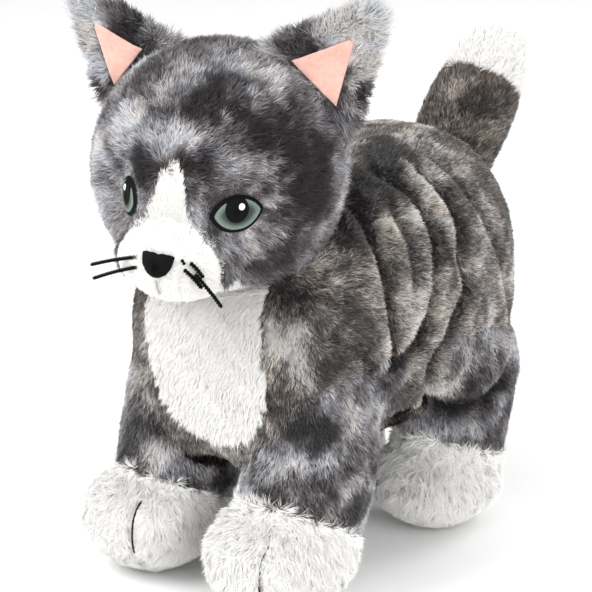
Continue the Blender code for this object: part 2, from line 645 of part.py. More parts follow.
# ---- places ------------------------------------------------------------------------------------------------
# Each moving piece has its origin on its hinge, and the whole toy stands over the frame's origin.
pivots = {"head": HEAD_CENTRE, "tail": TAIL_ROOT}
for tag, data in (("front", FRONT_LEG), ("hind", HIND_LEG)):
    for side_name, side in (("left", 1.0), ("right", -1.0)):
        pivots[f"{tag}_{side_name}"] = mirrored(data["hinge"], side) * MM
        pivots[f"ear_{side_name}"] = HEAD @ mirrored((EAR_BASE_FRONT + EAR_BASE_BACK) / 2.0, side)
on_torso = ("torso", "belly", "chest_bib")
for item in list(parts.objects) + list(cutters.objects):
    place = Vector()
    if item.name in parts.objects and not item.name.startswith(on_torso):
        place = next((spot for key, spot in pivots.items() if key in item.name), HEAD_CENTRE)
        if item.name.startswith("ear"):
            place = pivots["ear_left" if item.name.endswith("left") else "ear_right"]
    item.data.transform(Matrix.Translation(-place))
    item.location = place + RECENTRE
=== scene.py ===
import math

import bpy
import numpy as np
from mathutils import Matrix, Vector
from mathutils.bvhtree import BVHTree


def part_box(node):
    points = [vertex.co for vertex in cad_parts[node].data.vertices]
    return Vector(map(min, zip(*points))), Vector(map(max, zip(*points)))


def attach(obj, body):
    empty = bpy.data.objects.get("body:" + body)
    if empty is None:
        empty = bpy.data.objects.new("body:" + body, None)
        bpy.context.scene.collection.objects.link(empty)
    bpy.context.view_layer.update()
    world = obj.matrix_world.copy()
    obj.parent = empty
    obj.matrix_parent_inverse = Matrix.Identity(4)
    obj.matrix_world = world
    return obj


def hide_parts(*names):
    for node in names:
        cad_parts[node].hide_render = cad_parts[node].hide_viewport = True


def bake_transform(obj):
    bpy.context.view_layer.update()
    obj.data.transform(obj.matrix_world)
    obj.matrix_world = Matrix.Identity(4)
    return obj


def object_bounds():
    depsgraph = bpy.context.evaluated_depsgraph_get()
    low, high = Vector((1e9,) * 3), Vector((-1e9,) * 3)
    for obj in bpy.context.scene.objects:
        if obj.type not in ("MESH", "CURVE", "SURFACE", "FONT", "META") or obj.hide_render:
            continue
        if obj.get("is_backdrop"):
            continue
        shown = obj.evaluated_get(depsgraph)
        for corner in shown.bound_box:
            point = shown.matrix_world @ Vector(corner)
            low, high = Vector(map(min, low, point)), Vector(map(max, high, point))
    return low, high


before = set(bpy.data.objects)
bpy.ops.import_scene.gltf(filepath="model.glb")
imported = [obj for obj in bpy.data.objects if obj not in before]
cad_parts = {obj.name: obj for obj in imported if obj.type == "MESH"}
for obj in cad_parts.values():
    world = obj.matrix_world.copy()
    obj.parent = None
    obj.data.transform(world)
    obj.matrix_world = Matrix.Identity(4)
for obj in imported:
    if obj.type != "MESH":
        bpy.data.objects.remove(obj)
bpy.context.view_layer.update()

scene = bpy.context.scene

# The studio: a pale sheet of card under the cat, a wide soft box above the left
# shoulder, a paler one on the right and a low one behind. The camera stands a metre
# off with a long lens.
AIM = Vector((0.0014, -0.0034, 0.140))
STAND_OFF = 1.0
AZIMUTH, ELEVATION = math.radians(39), math.radians(17)
LENS, SENSOR = 122.8, 36.0
MOVE_ACROSS, MOVE_UP = -27 / 592, -28 / 592
CARD_HALF = 12.0
CARD_SHADE = 0.92
ROOM_LIGHT = 0.88
SOFT_BOXES = (
    ("key", (-0.55, -1.0, 1.15), 0.9, 18),
    ("fill", (1.35, -0.55, 0.65), 1.0, 11),
    ("back", (0.4, 1.2, 0.8), 0.8, 8),
)


def towards(azimuth, elevation):
    flat = math.cos(elevation)
    return Vector((math.sin(azimuth) * flat, -math.cos(azimuth) * flat, math.sin(elevation)))


def placed(thing, name, location, looks_at):
    made = bpy.data.objects.new(name, thing)
    scene.collection.objects.link(made)
    made.location = location
    made.rotation_mode = "QUATERNION"
    made.rotation_quaternion = (Vector(looks_at) - Vector(location)).to_track_quat("-Z", "Y")
    return made


lens = bpy.data.cameras.new("camera")
lens.lens = LENS
lens.sensor_width = SENSOR
lens.shift_x = MOVE_ACROSS
lens.shift_y = MOVE_UP
lens.clip_start = 0.05
lens.clip_end = 20
scene.camera = placed(lens, "camera", AIM + towards(AZIMUTH, ELEVATION) * STAND_OFF, AIM)
for title, where, size, power in SOFT_BOXES:
    box = bpy.data.lights.new(title, "AREA")
    box.size = size
    box.energy = power
    placed(box, title, where, AIM)
scene.view_settings.view_transform = "Standard"
room = bpy.data.worlds.new("room")
room.use_nodes = True
room.node_tree.nodes["Background"].inputs["Color"].default_value = (1, 1, 1, 1)
room.node_tree.nodes["Background"].inputs["Strength"].default_value = ROOM_LIGHT
scene.world = room


def mesh_of(name, corners, faces):
    made = bpy.data.meshes.new(name)
    made.from_pydata([tuple(c) for c in corners], [], faces)
    made.validate()
    made.update()
    return made


def object_of(name, made):
    new = bpy.data.objects.new(name, made)
    scene.collection.objects.link(new)
    return new


card = object_of(
    "card",
    mesh_of(
        "card",
        [(x * CARD_HALF, y * CARD_HALF, 0) for x, y in ((-1, -1), (1, -1), (1, 1), (-1, 1))],
        [(0, 1, 2, 3)],
    ),
)
paint = bpy.data.materials.new("card")
paint.use_nodes = True
paint.node_tree.nodes["Principled BSDF"].inputs["Base Color"].default_value = (
    CARD_SHADE, CARD_SHADE, CARD_SHADE, 1)
paint.node_tree.nodes["Principled BSDF"].inputs["Roughness"].default_value = 0.9
card.data.materials.append(paint)
card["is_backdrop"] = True


# Fur fabric, used all over the cat: a knitted backing with a dyed pile. The pile's
# colour is dyed in soft blotches of charcoal, mid grey and silver, and each hair is
# painted darker at its root and in the creases, as shade deep in the pile. Yarns and
# the plain linings are dyed the same way.
MM = 0.001


class Dye:
    """A node's output socket. Operators on it add Math nodes."""

    def __init__(self, tree, socket):
        self.tree = tree
        self.socket = socket

    def add(self, kind, settings=None, sockets=None, out=0):
        node = self.tree.nodes.new(kind)
        for key, value in (settings or {}).items():
            if key == "stops":
                ramp = node.color_ramp
                ramp.elements.remove(ramp.elements[1])
                ramp.elements[0].position, ramp.elements[0].color = value[0]
                for position, colour in value[1:]:
                    ramp.elements.new(position).color = colour
            else:
                setattr(node, key, value)
        for key, value in (sockets or {}).items():
            if isinstance(value, Dye):
                self.tree.links.new(value.socket, node.inputs[key])
            else:
                node.inputs[key].default_value = value
        return Dye(self.tree, node.outputs[out])

    def maths(self, operation, a, b):
        return self.add("ShaderNodeMath", {"operation": operation}, {0: a, 1: b})

    def __add__(self, other):
        return self.maths("ADD", self, other)

    def __sub__(self, other):
        return self.maths("SUBTRACT", self, other)

    def __rsub__(self, other):
        return self.maths("SUBTRACT", other, self)

    def __mul__(self, other):
        return self.maths("MULTIPLY", self, other)

    __radd__ = __add__
    __rmul__ = __mul__

    def clear(self, low, high):
        """0 where self is at low, 1 where it is at high, smooth between."""
        return self.add(
            "ShaderNodeMapRange",
            {"interpolation_type": "SMOOTHSTEP"},
            {"Value": self, "From Min": low, "From Max": high},
        )

    def tint(self, first, second):
        """The first colour where self is 0, the second where it is 1."""
        return self.add(
            "ShaderNodeMix", {"data_type": "RGBA"}, {0: self, 6: first, 7: second}, out=2
        )

    def stamped(self, title, out=2):
        """What stamp wrote on the mesh's corners under this title."""
        return self.add("ShaderNodeAttribute", {"attribute_name": title}, out=out)

    def noise(self, where, scale, detail, rough=0.5, twist=0.0):
        return self.add(
            "ShaderNodeTexNoise",
            {},
            {"Vector": where, "Scale": scale, "Detail": detail, "Roughness": rough,
             "Distortion": twist},
        )

    def stretched(self, where, by):
        return self.add("ShaderNodeVectorMath", {"operation": "MULTIPLY"}, {0: where, 1: by})

    def far(self, where, centre):
        return self.add(
            "ShaderNodeVectorMath", {"operation": "DISTANCE"}, {0: where, 1: centre}, out=1
        )


def shade(red, green, blue):
    """A colour as seen, 0 to 255, made linear for a socket."""
    return tuple(
        (c / 255 / 12.92) if c / 255 < 0.04045 else ((c / 255 + 0.055) / 1.055) ** 2.4
        for c in (red, green, blue)
    ) + (1.0,)


def vat(name, roughness, sheen, specular):
    """A new material, its shader, and a Dye to add its nodes with."""
    made = bpy.data.materials.new(name)
    made.use_nodes = True
    tree = made.node_tree
    shader = tree.nodes["Principled BSDF"]
    shader.inputs["Roughness"].default_value = roughness
    shader.inputs["Sheen Weight"].default_value = sheen
    shader.inputs["Sheen Roughness"].default_value = 0.45
    shader.inputs["Specular IOR Level"].default_value = specular
    start = Dye(tree, None)
    return made, shader, start


def into(start, shader, socket, dye):
    start.tree.links.new(dye.socket, shader.inputs[socket])


COOL_AND_WARM = (0.98, 0.99, 1.01, 1), (1.05, 1.0, 0.95, 1)


def dyed_fur(name, blotch, stretch, bias, spots, tints, roughness, sheen, specular, seed, streak=0.5,
             wild=4.4):
    """Blotched grey fur. blotch is a blotch's size in metres, wild how strongly they differ,
    and spots are (centre, radius, amount), amount above 0 for paler."""
    made, shader, start = vat(name, roughness, sheen, specular)
    root = start.stamped("root", 1)
    along, each, fold = start.stamped("along"), start.stamped("each"), start.stamped("fold")
    moved = start.add(
        "ShaderNodeVectorMath", {"operation": "ADD"}, {0: start.stretched(root, stretch), 1: seed}
    )
    broad = start.noise(moved, 1 / blotch, 2.5, 0.55, 0.6)
    small = start.noise(moved, 3.1 / blotch, 2.0, 0.6, 0.3)
    tone = (broad - 0.5) * wild + (small - 0.5) * 1.5 + bias
    for centre, radius, amount in spots:
        ragged = start.far(root, centre) + (small - 0.5) * (radius * 0.9)
        tone = tone + (1 - ragged.clear(radius * 0.35, radius)) * amount
    wisps = start.noise(root, 620.0, 1.0)
    tone = tone + (each - 0.5) * streak + (wisps - 0.5) * (1.7 * streak)
    # Painted shade: each hair darker towards its root, and darker where it grows in a crease.
    tone = tone + (along - 0.5) * 0.6 - fold * 1.1
    charcoal, slate, silver, pale = tints
    grey = start.add(
        "ShaderNodeValToRGB",
        {"stops": [(0.0, SHADOW), (0.3, charcoal), (0.5, slate), (0.72, silver), (1.0, pale)]},
        {0: tone * 0.5 + 0.5},
    )
    warmth = start.noise(moved, 1.4 / blotch, 1.0)
    warm = start.add(
        "ShaderNodeMix",
        {"data_type": "RGBA", "blend_type": "MULTIPLY"},
        {0: 1.0, 6: grey, 7: warmth.clear(0.38, 0.62).tint(*COOL_AND_WARM)},
        out=2,
    )
    into(start, shader, "Base Color", warm)
    into(start, shader, "Roughness", each * 0.2 + (roughness - 0.1))
    return made


def bleached_fur(name, roughness, root_shade, tip_shade):
    """White fur with painted shade: a little darker at its roots and between its tufts."""
    made, shader, start = vat(name, roughness, 0.25, 0.2)
    root = start.stamped("root", 1)
    along, each = start.stamped("along"), start.stamped("each")
    tufts = start.noise(root, 160.0, 2.0)
    # Painted shade deep in the pile, darker at the roots and between tufts.
    depth = along * 0.9 + (tufts - 0.5) * 0.5 + (each - 0.5) * 0.25 + 0.15
    into(start, shader, "Base Color", depth.clear(0.0, 0.9).tint(root_shade, tip_shade))
    into(start, shader, "Roughness", each * 0.2 + (roughness - 0.1))
    return made


SHADOW = shade(24, 20, 19)
GREYS = (shade(50, 46, 48), shade(94, 90, 94), shade(148, 147, 150), shade(209, 210, 213))
SHINY_GREYS = (shade(48, 43, 41), shade(92, 86, 82), shade(150, 145, 140), shade(212, 209, 205))
BROWNER_GREYS = (shade(56, 49, 45), shade(97, 89, 83), shade(147, 139, 131), shade(205, 200, 194))
OFF_WHITE = shade(243, 242, 240)
SHADED_WHITE = shade(236, 234, 230)


# The body: fur fabric cut in panels, sewn edge to edge and stuffed with wadding. One
# skin is drawn round the trunk, the four legs and the paws, and is parted along its
# seams further down.
PAWS = ("front_left", "front_right", "hind_left", "hind_right")
TRUNK_NODES = ("torso_left", "torso_right", "belly", "chest_bib", "torso_wadding")
LEG_NODES = ("leg", "paw", "paw_base", "leg_wadding")
BODY_VOXEL, BODY_EASING = 2.6 * MM, 9


def shape_of(thing):
    made = thing.data if hasattr(thing, "data") else thing
    corners = np.empty(len(made.vertices) * 3, np.float32)
    made.vertices.foreach_get("co", corners)
    return corners.reshape(-1, 3).astype(float)


def normals_of(thing):
    out = np.empty(len(thing.data.vertices) * 3, np.float32)
    thing.data.vertex_normals.foreach_get("vector", out)
    return out.reshape(-1, 3).astype(float)


def reshape(thing, corners):
    thing.data.vertices.foreach_set("co", corners.astype(np.float32).ravel())
    thing.data.update()


def rounded(thing):
    """Shades thing as one smooth surface."""
    thing.data.polygons.foreach_set("use_smooth", np.ones(len(thing.data.polygons), bool))
    return thing


def with_modifiers(thing):
    """thing's mesh with its modifiers worked in, and none left on it."""
    graph = bpy.context.evaluated_depsgraph_get()
    done = bpy.data.meshes.new_from_object(thing.evaluated_get(graph))
    thing.modifiers.clear()
    thing.data = done
    return thing


def stuffed_skin(name, nodes, voxel, easing):
    """One smooth closed skin round these CAD solids."""
    corners, faces, count = [], [], 0
    for node in nodes:
        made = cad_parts[node].data
        corners.extend(tuple(v.co) for v in made.vertices)
        faces.extend(tuple(count + i for i in p.vertices) for p in made.polygons)
        count += len(made.vertices)
    skin = object_of(name, mesh_of(name, corners, faces))
    remesh = skin.modifiers.new("one skin", "REMESH")
    remesh.mode = "VOXEL"
    remesh.voxel_size = voxel
    smooth = skin.modifiers.new("ease", "SMOOTH")
    smooth.factor = 0.5
    smooth.iterations = easing
    return rounded(with_modifiers(skin))


def tree_of(thing, corners):
    """thing's faces, with their corners at these points, for finding what is near."""
    return BVHTree.FromPolygons(
        [tuple(c) for c in corners], [tuple(q.vertices) for q in thing.data.polygons])


def panel(skin, name, rule):
    """The faces of skin whose middles pass the rule, as a piece of their own."""
    corners = shape_of(skin)
    faces = np.array([tuple(p.vertices) for p in skin.data.polygons])
    chosen = faces[rule(corners[faces].mean(1))]
    used, renumbered = np.unique(chosen, return_inverse=True)
    return rounded(
        object_of(name, mesh_of(name, corners[used], renumbered.reshape(chosen.shape).tolist())))


def rising(low, high, value):
    """0 where value is at low, 1 where it is at high, smooth between."""
    t = np.clip((value - low) / (high - low), 0, 1)
    return t * t * (3 - 2 * t)


body = stuffed_skin(
    "body_skin",
    TRUNK_NODES + tuple(f"{part}_{tag}" for tag in PAWS for part in LEG_NODES),
    BODY_VOXEL,
    BODY_EASING,
)
MIDDLE_X = (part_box("torso_left")[1].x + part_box("torso_right")[0].x) / 2

# Creases where the stuffed flanks buckle between the back seam and the belly, and the
# deep one round each haunch: (along the body, height) in millimetres on the left side.
CREASES = (
    (7.0, ((-34, 184), (-34.6, 166), (-34, 144), (-31, 126), (-34, 112))),
    (6.5, ((-7, 194), (0.6, 186), (5, 176), (4.7, 161), (0.3, 139), (-4, 127), (-12, 119), (-30, 112))),
    (3.2, ((-15, 180), (-12.5, 169), (-12.3, 157), (-13.8, 146))),
    (5.6, ((18, 190), (24, 178), (26.4, 165), (22, 150), (27, 141), (28, 133), (23, 127), (14, 118),
           (2, 109))),
    (2.2, ((29, 198), (35, 189), (40, 180), (48, 166), (62, 140), (73, 114))),
    (3.4, ((-70, 135), (-58, 126), (-46, 114), (-37, 104))),
    (5.4, ((-2, 108), (1.7, 96), (12, 80), (28, 72), (45, 71), (58, 77), (72, 86))),
)
RIGHT_SIDE_MOVED = 5.0
CREASE_HALF = 3.0
SWELL_AT, SWELL_HALF, SWELL_SHARE = 9.0, 5.5, 0.28
SIDE_FROM, SIDE_TO = 22.0, 40.0
# Painted crease shade: how wide it spreads, and the crease depth at which it is darkest.
CREASE_SHADE_HALF, CREASE_SHADE_FULL_AT = 3.2, 7


def to_line(points, line):
    """Each point's distance to a line of straight pieces."""
    least = np.full(len(points), 1e9)
    for a, b in zip(line[:-1], line[1:]):
        step = np.subtract(b, a)
        t = np.clip(((points - a) @ step) / (step @ step), 0, 1)
        least = np.minimum(least, np.linalg.norm(points - a - t[:, None] * step, axis=1))
    return least


def by_crease(points, bend):
    """Adds up bend(distance, depth) over the creases, on the flanks alone."""
    across = (points[:, 0] - MIDDLE_X) / MM
    total = np.zeros(len(points))
    for depth, line in CREASES:
        for side, shift in ((1, 0), (-1, RIGHT_SIDE_MOVED)):
            away = to_line(points[:, 1:] / MM - (shift, 0), np.array(line, float))
            total += bend(away, depth) * (across * side > 0)
    return total * rising(SIDE_FROM, SIDE_TO, np.abs(across))


def buckle(away, depth):
    dip = -np.exp(-((away / CREASE_HALF) ** 2))
    return depth * (dip + SWELL_SHARE * np.exp(-(((away - SWELL_AT) / SWELL_HALF) ** 2)))


# Painted shade across a crease: darkest on its line, and darker for deeper creases.
def shadow(away, depth):
    return depth / CREASE_SHADE_FULL_AT * np.exp(-((away / CREASE_SHADE_HALF) ** 2))


def painted_crease_shade(points):
    """How deep in a crease each point lies, from 0 to 1. The fur's colour is painted darker there, as
    shade in the crease.
    """
    return np.clip(by_crease(points, shadow), 0, 1)


reshape(body, shape_of(body) + normals_of(body) * by_crease(shape_of(body), buckle)[:, None] * MM)

# The wadding swells the front shanks and draws each paw in round its foot. Heights are
# in millimetres, and the paws are drawn in by a share of their width.
LEG_PLUMP = 3.0
SHANK_TOP, SHANK_FOOT, SHANK_ASIDE, SHANKS_END = (100, 60), (18, 34), (6, 16), -0.02
FOOT_ROUND, FOOT_HIGH = 0.15, 20
PAW_TRIM, PAW_TRIM_FROM, PAW_REACH = {"front": 0.06, "hind": 0.0}, (52, 30), 48
PAW_MIDDLE = {}
for tag in PAWS:
    low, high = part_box(f"paw_{tag}")
    PAW_MIDDLE[tag] = (low + high) / 2
corners, outward = shape_of(body), normals_of(body)
shank = rising(*SHANK_TOP, corners[:, 2] / MM) * rising(*SHANK_FOOT, corners[:, 2] / MM)
shank *= (corners[:, 1] < SHANKS_END) * rising(*SHANK_ASIDE, np.abs(corners[:, 0] - MIDDLE_X) / MM)
corners += outward * (shank * LEG_PLUMP * MM)[:, None]
for tag, middle in PAW_MIDDLE.items():
    off = corners[:, :2] - np.array(middle)[:2]
    pull = FOOT_ROUND * rising(FOOT_HIGH, 0, corners[:, 2] / MM)
    pull += PAW_TRIM[tag.split("_")[0]] * rising(*PAW_TRIM_FROM, corners[:, 2] / MM)
    pull *= np.linalg.norm(off, axis=1) < PAW_REACH * MM
    corners[:, :2] -= off * (pull * (np.sign(corners[:, 0] - MIDDLE_X) == np.sign(middle.x)))[:, None]
reshape(body, corners)

# The seams that part its panels: the white bib's outline, given as height, middle and
# half width, the paws' slanted cuffs, the line round the top of each leg, and the edge
# of the panel under the trunk.
BIB_EDGE = ((79, 10, 0), (81, 9.5, 11), (86, 8.5, 20.5), (94, 7, 28.5), (106, 5.5, 33.5),
            (124, 2.5, 35), (145, 0, 34.5), (165, -1, 32), (190, -1, 28))
BIB_BEHIND = -51
CUFFS = {
    "front_left": (-71.4, 41, 31), "front_right": (-71.4, 37, 31),
    "hind_left": (50.6, 42, 23), "hind_right": (50.6, 42, 23),
}
LEG_EDGE = {"front": (14, 56), "hind": (14, 52)}
LEG_FACING = (0.763, -0.646)
LEG_TURNS_OVER = 18
LEG_REACH = {"front": (-200, -19), "hind": (20, 200)}
FREE_BELOW, PAW_REACHES_ON = 56, 22
# Below a ragged line under the trunk the grey fur is parted off and painted darker, without sheen, as
# shade under the belly.
UNDERSIDE_TOP, UNDERSIDE_FRONT, UNDERSIDE_STEP = 80, 62, -0.066
UNDERSIDE_WAVE, UNDERSIDE_SEED = 20 * MM, 31
WAVES = 5


def is_bib(p):
    heights, middles, halves = zip(*BIB_EDGE)
    middle = np.interp(p[:, 2] / MM, heights, middles)
    half = np.interp(p[:, 2] / MM, heights, halves, left=-1)
    return (np.abs((p[:, 0] - MIDDLE_X) / MM - middle) < half) & (p[:, 1] / MM < BIB_BEHIND)


def past_leg_edge(p, tag):
    pair, side = tag.split("_")
    way = 1 if side == "left" else -1
    across, height = (p[:, 0] - MIDDLE_X) * way / MM, p[:, 2] / MM
    edge_x, edge_z = LEG_EDGE[pair]
    return (across - edge_x) * LEG_FACING[0] + (height - edge_z) * LEG_FACING[1]


def is_leg(p, tag):
    low, high = LEG_REACH[tag.split("_")[0]]
    along = p[:, 1] / MM
    low = np.where(p[:, 2] / MM < FREE_BELOW, low - PAW_REACHES_ON, low)
    return (past_leg_edge(p, tag) > 0) & (along > low) & (along < high) & ~is_bib(p)


def is_paw(p, tag):
    at, height, slope = CUFFS[tag]
    cuff = height - (p[:, 1] / MM - at) * math.tan(math.radians(slope))
    return is_leg(p, tag) & (p[:, 2] / MM < cuff)


def waver(points, size, seed):
    """A smooth random vector at each point, changing over about this size."""
    draw = np.random.default_rng(seed)
    total = np.zeros_like(points)
    for _ in range(WAVES):
        turn = draw.normal(size=(3, 3))
        turn *= 2 * math.pi / size / np.linalg.norm(turn, axis=0)
        total += np.sin(points @ turn + draw.uniform(0, 2 * math.pi, 3))
    return total / WAVES**0.5


# Where the trunk's fur is painted in shade under the belly.
def in_underside_shade(p):
    edge = np.where(p[:, 1] < UNDERSIDE_STEP, UNDERSIDE_FRONT, UNDERSIDE_TOP)
    return p[:, 2] < (edge + waver(p, UNDERSIDE_WAVE, UNDERSIDE_SEED)[:, 2]) * MM


def is_trunk(p):
    return ~is_bib(p) & ~np.any([is_leg(p, tag) for tag in PAWS], axis=0)


trunk = panel(body, "trunk_skin", lambda p: is_trunk(p) & ~in_underside_shade(p))
underside = panel(body, "underside_skin", lambda p: is_trunk(p) & in_underside_shade(p))
bib = panel(body, "bib_skin", is_bib)
legs = {tag: panel(body, f"leg_skin_{tag}", lambda p: is_leg(p, tag) & ~is_paw(p, tag)) for tag in PAWS}
paws = {tag: panel(body, f"paw_skin_{tag}", lambda p: is_paw(p, tag)) for tag in PAWS}
bpy.data.objects.remove(body)


# The pile. Each hair is a narrow tapered blade rooted in its panel, combed one way and
# gathered into soft locks. Rows of hairs share out the fabric's colour map, and each
# hair has a cell of it.
LOCK_SIZE, LOCK_PULL = 6.5 * MM, 0.6
WISP_SIZE, WISP_PULL = 2.2 * MM, 0.45
STRAY, LEAN_STRAY, LEAN_LOCKS, ROLL_STRAY = 0.16, 7, 9, 0.55
LEANS_WITHIN = (0.05, 1.52)
LENGTHS_VARY = (0.7, 1.15)
TAPER, TAPER_CURVE = 0.75, 1.3
SUNK = 0.4 * MM
GROUND = 0.2 * MM
CELL_LEFT, CELL_RIGHT, CELL_FOOT, CELL_TALL, CELL_TIP = 0.12, 0.88, 0.1, 0.8, 0.92


def unit(vectors):
    return vectors / np.maximum(np.linalg.norm(vectors, axis=1), 1e-9)[:, None]


def sown(skin, per_mm2, draw):
    """Roots spread evenly over a skin, and the way out of it at each."""
    corners, outward = shape_of(skin), normals_of(skin)
    skin.data.calc_loop_triangles()
    tri = np.empty(len(skin.data.loop_triangles) * 3, np.int32)
    skin.data.loop_triangles.foreach_get("vertices", tri)
    tri = tri.reshape(-1, 3)
    a, b, c = (corners[tri[:, k]] for k in range(3))
    area = np.linalg.norm(np.cross(b - a, c - a), axis=1) / 2
    count = int(area.sum() / MM**2 * per_mm2)
    pick = np.searchsorted(np.cumsum(area) / area.sum(), draw.random(count)).clip(0, len(tri) - 1)
    u, v = draw.random(count), draw.random(count)
    u, v = np.where(u + v > 1, 1 - u, u)[:, None], np.where(u + v > 1, 1 - v, v)[:, None]
    mix = lambda t: t[tri[pick, 0]] * (1 - u - v) + t[tri[pick, 1]] * u + t[tri[pick, 2]] * v
    return mix(corners), unit(mix(outward))


def pile(name, skin, per_mm2, long, comb, lean, wide, seed, cloth, joints=2, bow=22, locks=0.5,
         keep=None):
    """The hairs on one skin. long and wide are in metres, lean and bow in degrees from
    upright, joints is how many lengths a hair bends in, and locks how far it gathers."""
    draw = np.random.default_rng(seed)
    root, out = sown(skin, per_mm2, draw)
    if keep is not None:
        kept = keep(root)
        root, out = root[kept], out[kept]
    middle = root.mean(0)
    level = np.argsort(root[:, 2], kind="stable")
    rows = int(math.ceil(math.sqrt(len(root))))
    order = np.concatenate([
        chunk[np.argsort(np.arctan2(*(root[chunk, :2] - middle[:2]).T), kind="stable")]
        for chunk in np.array_split(level, rows)
    ])
    root, out = root[order], out[order]
    count = len(root)
    length = long(root) if callable(long) else np.full(count, long)
    length = length * draw.uniform(*LENGTHS_VARY, count)
    flow = unit(comb(root)) + locks * waver(root, LOCK_SIZE, seed) * LOCK_PULL
    flow += locks * waver(root, WISP_SIZE, seed + 1) * WISP_PULL
    flow += draw.normal(size=(count, 3)) * STRAY
    flow = unit(flow - out * np.sum(flow * out, axis=1)[:, None])
    gather = waver(root, LOCK_SIZE, seed + 2)[:, 0]
    angle = np.radians(lean + draw.normal(size=count) * LEAN_STRAY + LEAN_LOCKS * locks * gather)
    spine = [root - out * SUNK]
    for k in range(joints):
        tilt = np.clip(angle + math.radians(bow) * k / (joints - 1), *LEANS_WITHIN)[:, None]
        spine.append(spine[-1] + (out * np.cos(tilt) + flow * np.sin(tilt)) * (length / joints)[:, None])
    roll = draw.normal(size=count)[:, None] * ROLL_STRAY
    flat = unit(np.cross(flow, out))
    flat = flat * np.cos(roll) + np.cross(unit(spine[1] - spine[0]), flat) * np.sin(roll)
    points = np.empty((count, 2 * joints + 1, 3))
    for k in range(joints):
        half = wide / 2 * (1 - TAPER * (k / joints) ** TAPER_CURVE)
        points[:, 2 * k] = spine[k] - flat * half
        points[:, 2 * k + 1] = spine[k] + flat * half
    points[:, -1] = spine[-1]
    points[:, :, 2] = np.maximum(points[:, :, 2], GROUND)
    turns = [(2 * k, 2 * k + 1, 2 * k + 3, 2 * k + 2) for k in range(joints - 1)]
    turns = np.array(sum(turns, ()) + (2 * joints - 2, 2 * joints - 1, 2 * joints))
    starts = np.arange(joints) * 4
    made = bpy.data.meshes.new(name)
    made.vertices.add(points.shape[0] * points.shape[1])
    made.vertices.foreach_set("co", points.astype(np.float32).ravel())
    loops = (np.arange(count)[:, None] * (2 * joints + 1) + turns).ravel()
    made.loops.add(len(loops))
    made.loops.foreach_set("vertex_index", loops.astype(np.int32))
    made.polygons.add(count * joints)
    made.polygons.foreach_set(
        "loop_start", (np.arange(count)[:, None] * len(turns) + starts).ravel().astype(np.int32))
    made.update(calc_edges=True)
    column = np.concatenate([np.arange(len(c)) for c in np.array_split(level, rows)])
    row = np.concatenate([np.full(len(c), r) for r, c in enumerate(np.array_split(level, rows))])
    place = np.empty((count, 2 * joints + 1, 2))
    for k in range(joints):
        place[:, 2 * k, 0], place[:, 2 * k + 1, 0] = column + CELL_LEFT, column + CELL_RIGHT
        place[:, 2 * k, 1] = place[:, 2 * k + 1, 1] = row + CELL_FOOT + CELL_TALL * k / joints
    place[:, -1, 0], place[:, -1, 1] = column + 0.5, row + CELL_TIP
    fit = made.uv_layers.new(name="OFBake")
    fit.data.foreach_set("uv", (place.reshape(-1, 2)[loops] / (rows + 1)).astype(np.float32).ravel())
    stamp(made, "root", np.repeat(root, 2 * joints + 1, axis=0))
    stamp(made, "along", np.tile(np.append(np.repeat(np.arange(joints) / joints, 2), 1.0), count))
    stamp(made, "each", np.repeat(draw.random(count), 2 * joints + 1))
    # The painted crease shade at each hair's root, read by the dye.
    stamp(made, "fold", np.repeat(painted_crease_shade(root), 2 * joints + 1))
    hairs = object_of(name, made)
    made.materials.append(cloth)
    return hairs


def stamp(made, title, values):
    """Writes a number or a vector on each of a mesh's corners."""
    kind = "FLOAT_VECTOR" if values.ndim == 2 else "FLOAT"
    field = made.attributes.new(title, kind, "POINT")
    field.data.foreach_set("vector" if values.ndim == 2 else "value", values.astype(np.float32).ravel())


def backing(skin, cloth):
    """Gives a skin the same dye as its pile."""
    stamp(skin.data, "root", shape_of(skin))
    stamp(skin.data, "along", np.zeros(len(skin.data.vertices)))
    stamp(skin.data, "each", np.full(len(skin.data.vertices), 0.5))
    # The painted crease shade on the backing, read by the dye.
    stamp(skin.data, "fold", painted_crease_shade(shape_of(skin)))
    skin.data.materials.append(cloth)


HEAD_CENTRE = Vector((0.001391, -0.07843, 0.207))
HEAD_RADIUS = 57 * MM
TAIL_ROOT = Vector((0.001391, 0.09457, 0.168))
BODY_SPOTS = (
    ((0.048, 0.017, 0.186), 0.016, 0.5), ((0.057, 0.017, 0.172), 0.016, 0.5),
    ((0.056, -0.013, 0.174), 0.014, 0.45), ((0.062, -0.009, 0.159), 0.014, 0.45),
    ((0.065, -0.024, 0.141), 0.014, 0.4), ((0.059, 0.017, 0.088), 0.016, 0.3),
    ((0.061, 0.040, 0.093), 0.018, 0.35), ((0.024, 0.017, 0.200), 0.022, -0.7),
    ((0.039, -0.015, 0.191), 0.022, -0.8), ((0.065, -0.001, 0.140), 0.010, -0.4),
    ((0.063, 0.031, 0.153), 0.012, -0.4), ((0.050, -0.043, 0.176), 0.016, -0.6),
    ((0.047, -0.086, 0.135), 0.013, 0.8), ((0.053, -0.083, 0.120), 0.012, 0.7),
    ((0.060, -0.070, 0.120), 0.014, -0.7), ((0.058, -0.068, 0.147), 0.014, -0.6),
    ((0.038, -0.093, 0.105), 0.010, -0.6), ((0.066, 0.052, 0.058), 0.018, -0.4),
)
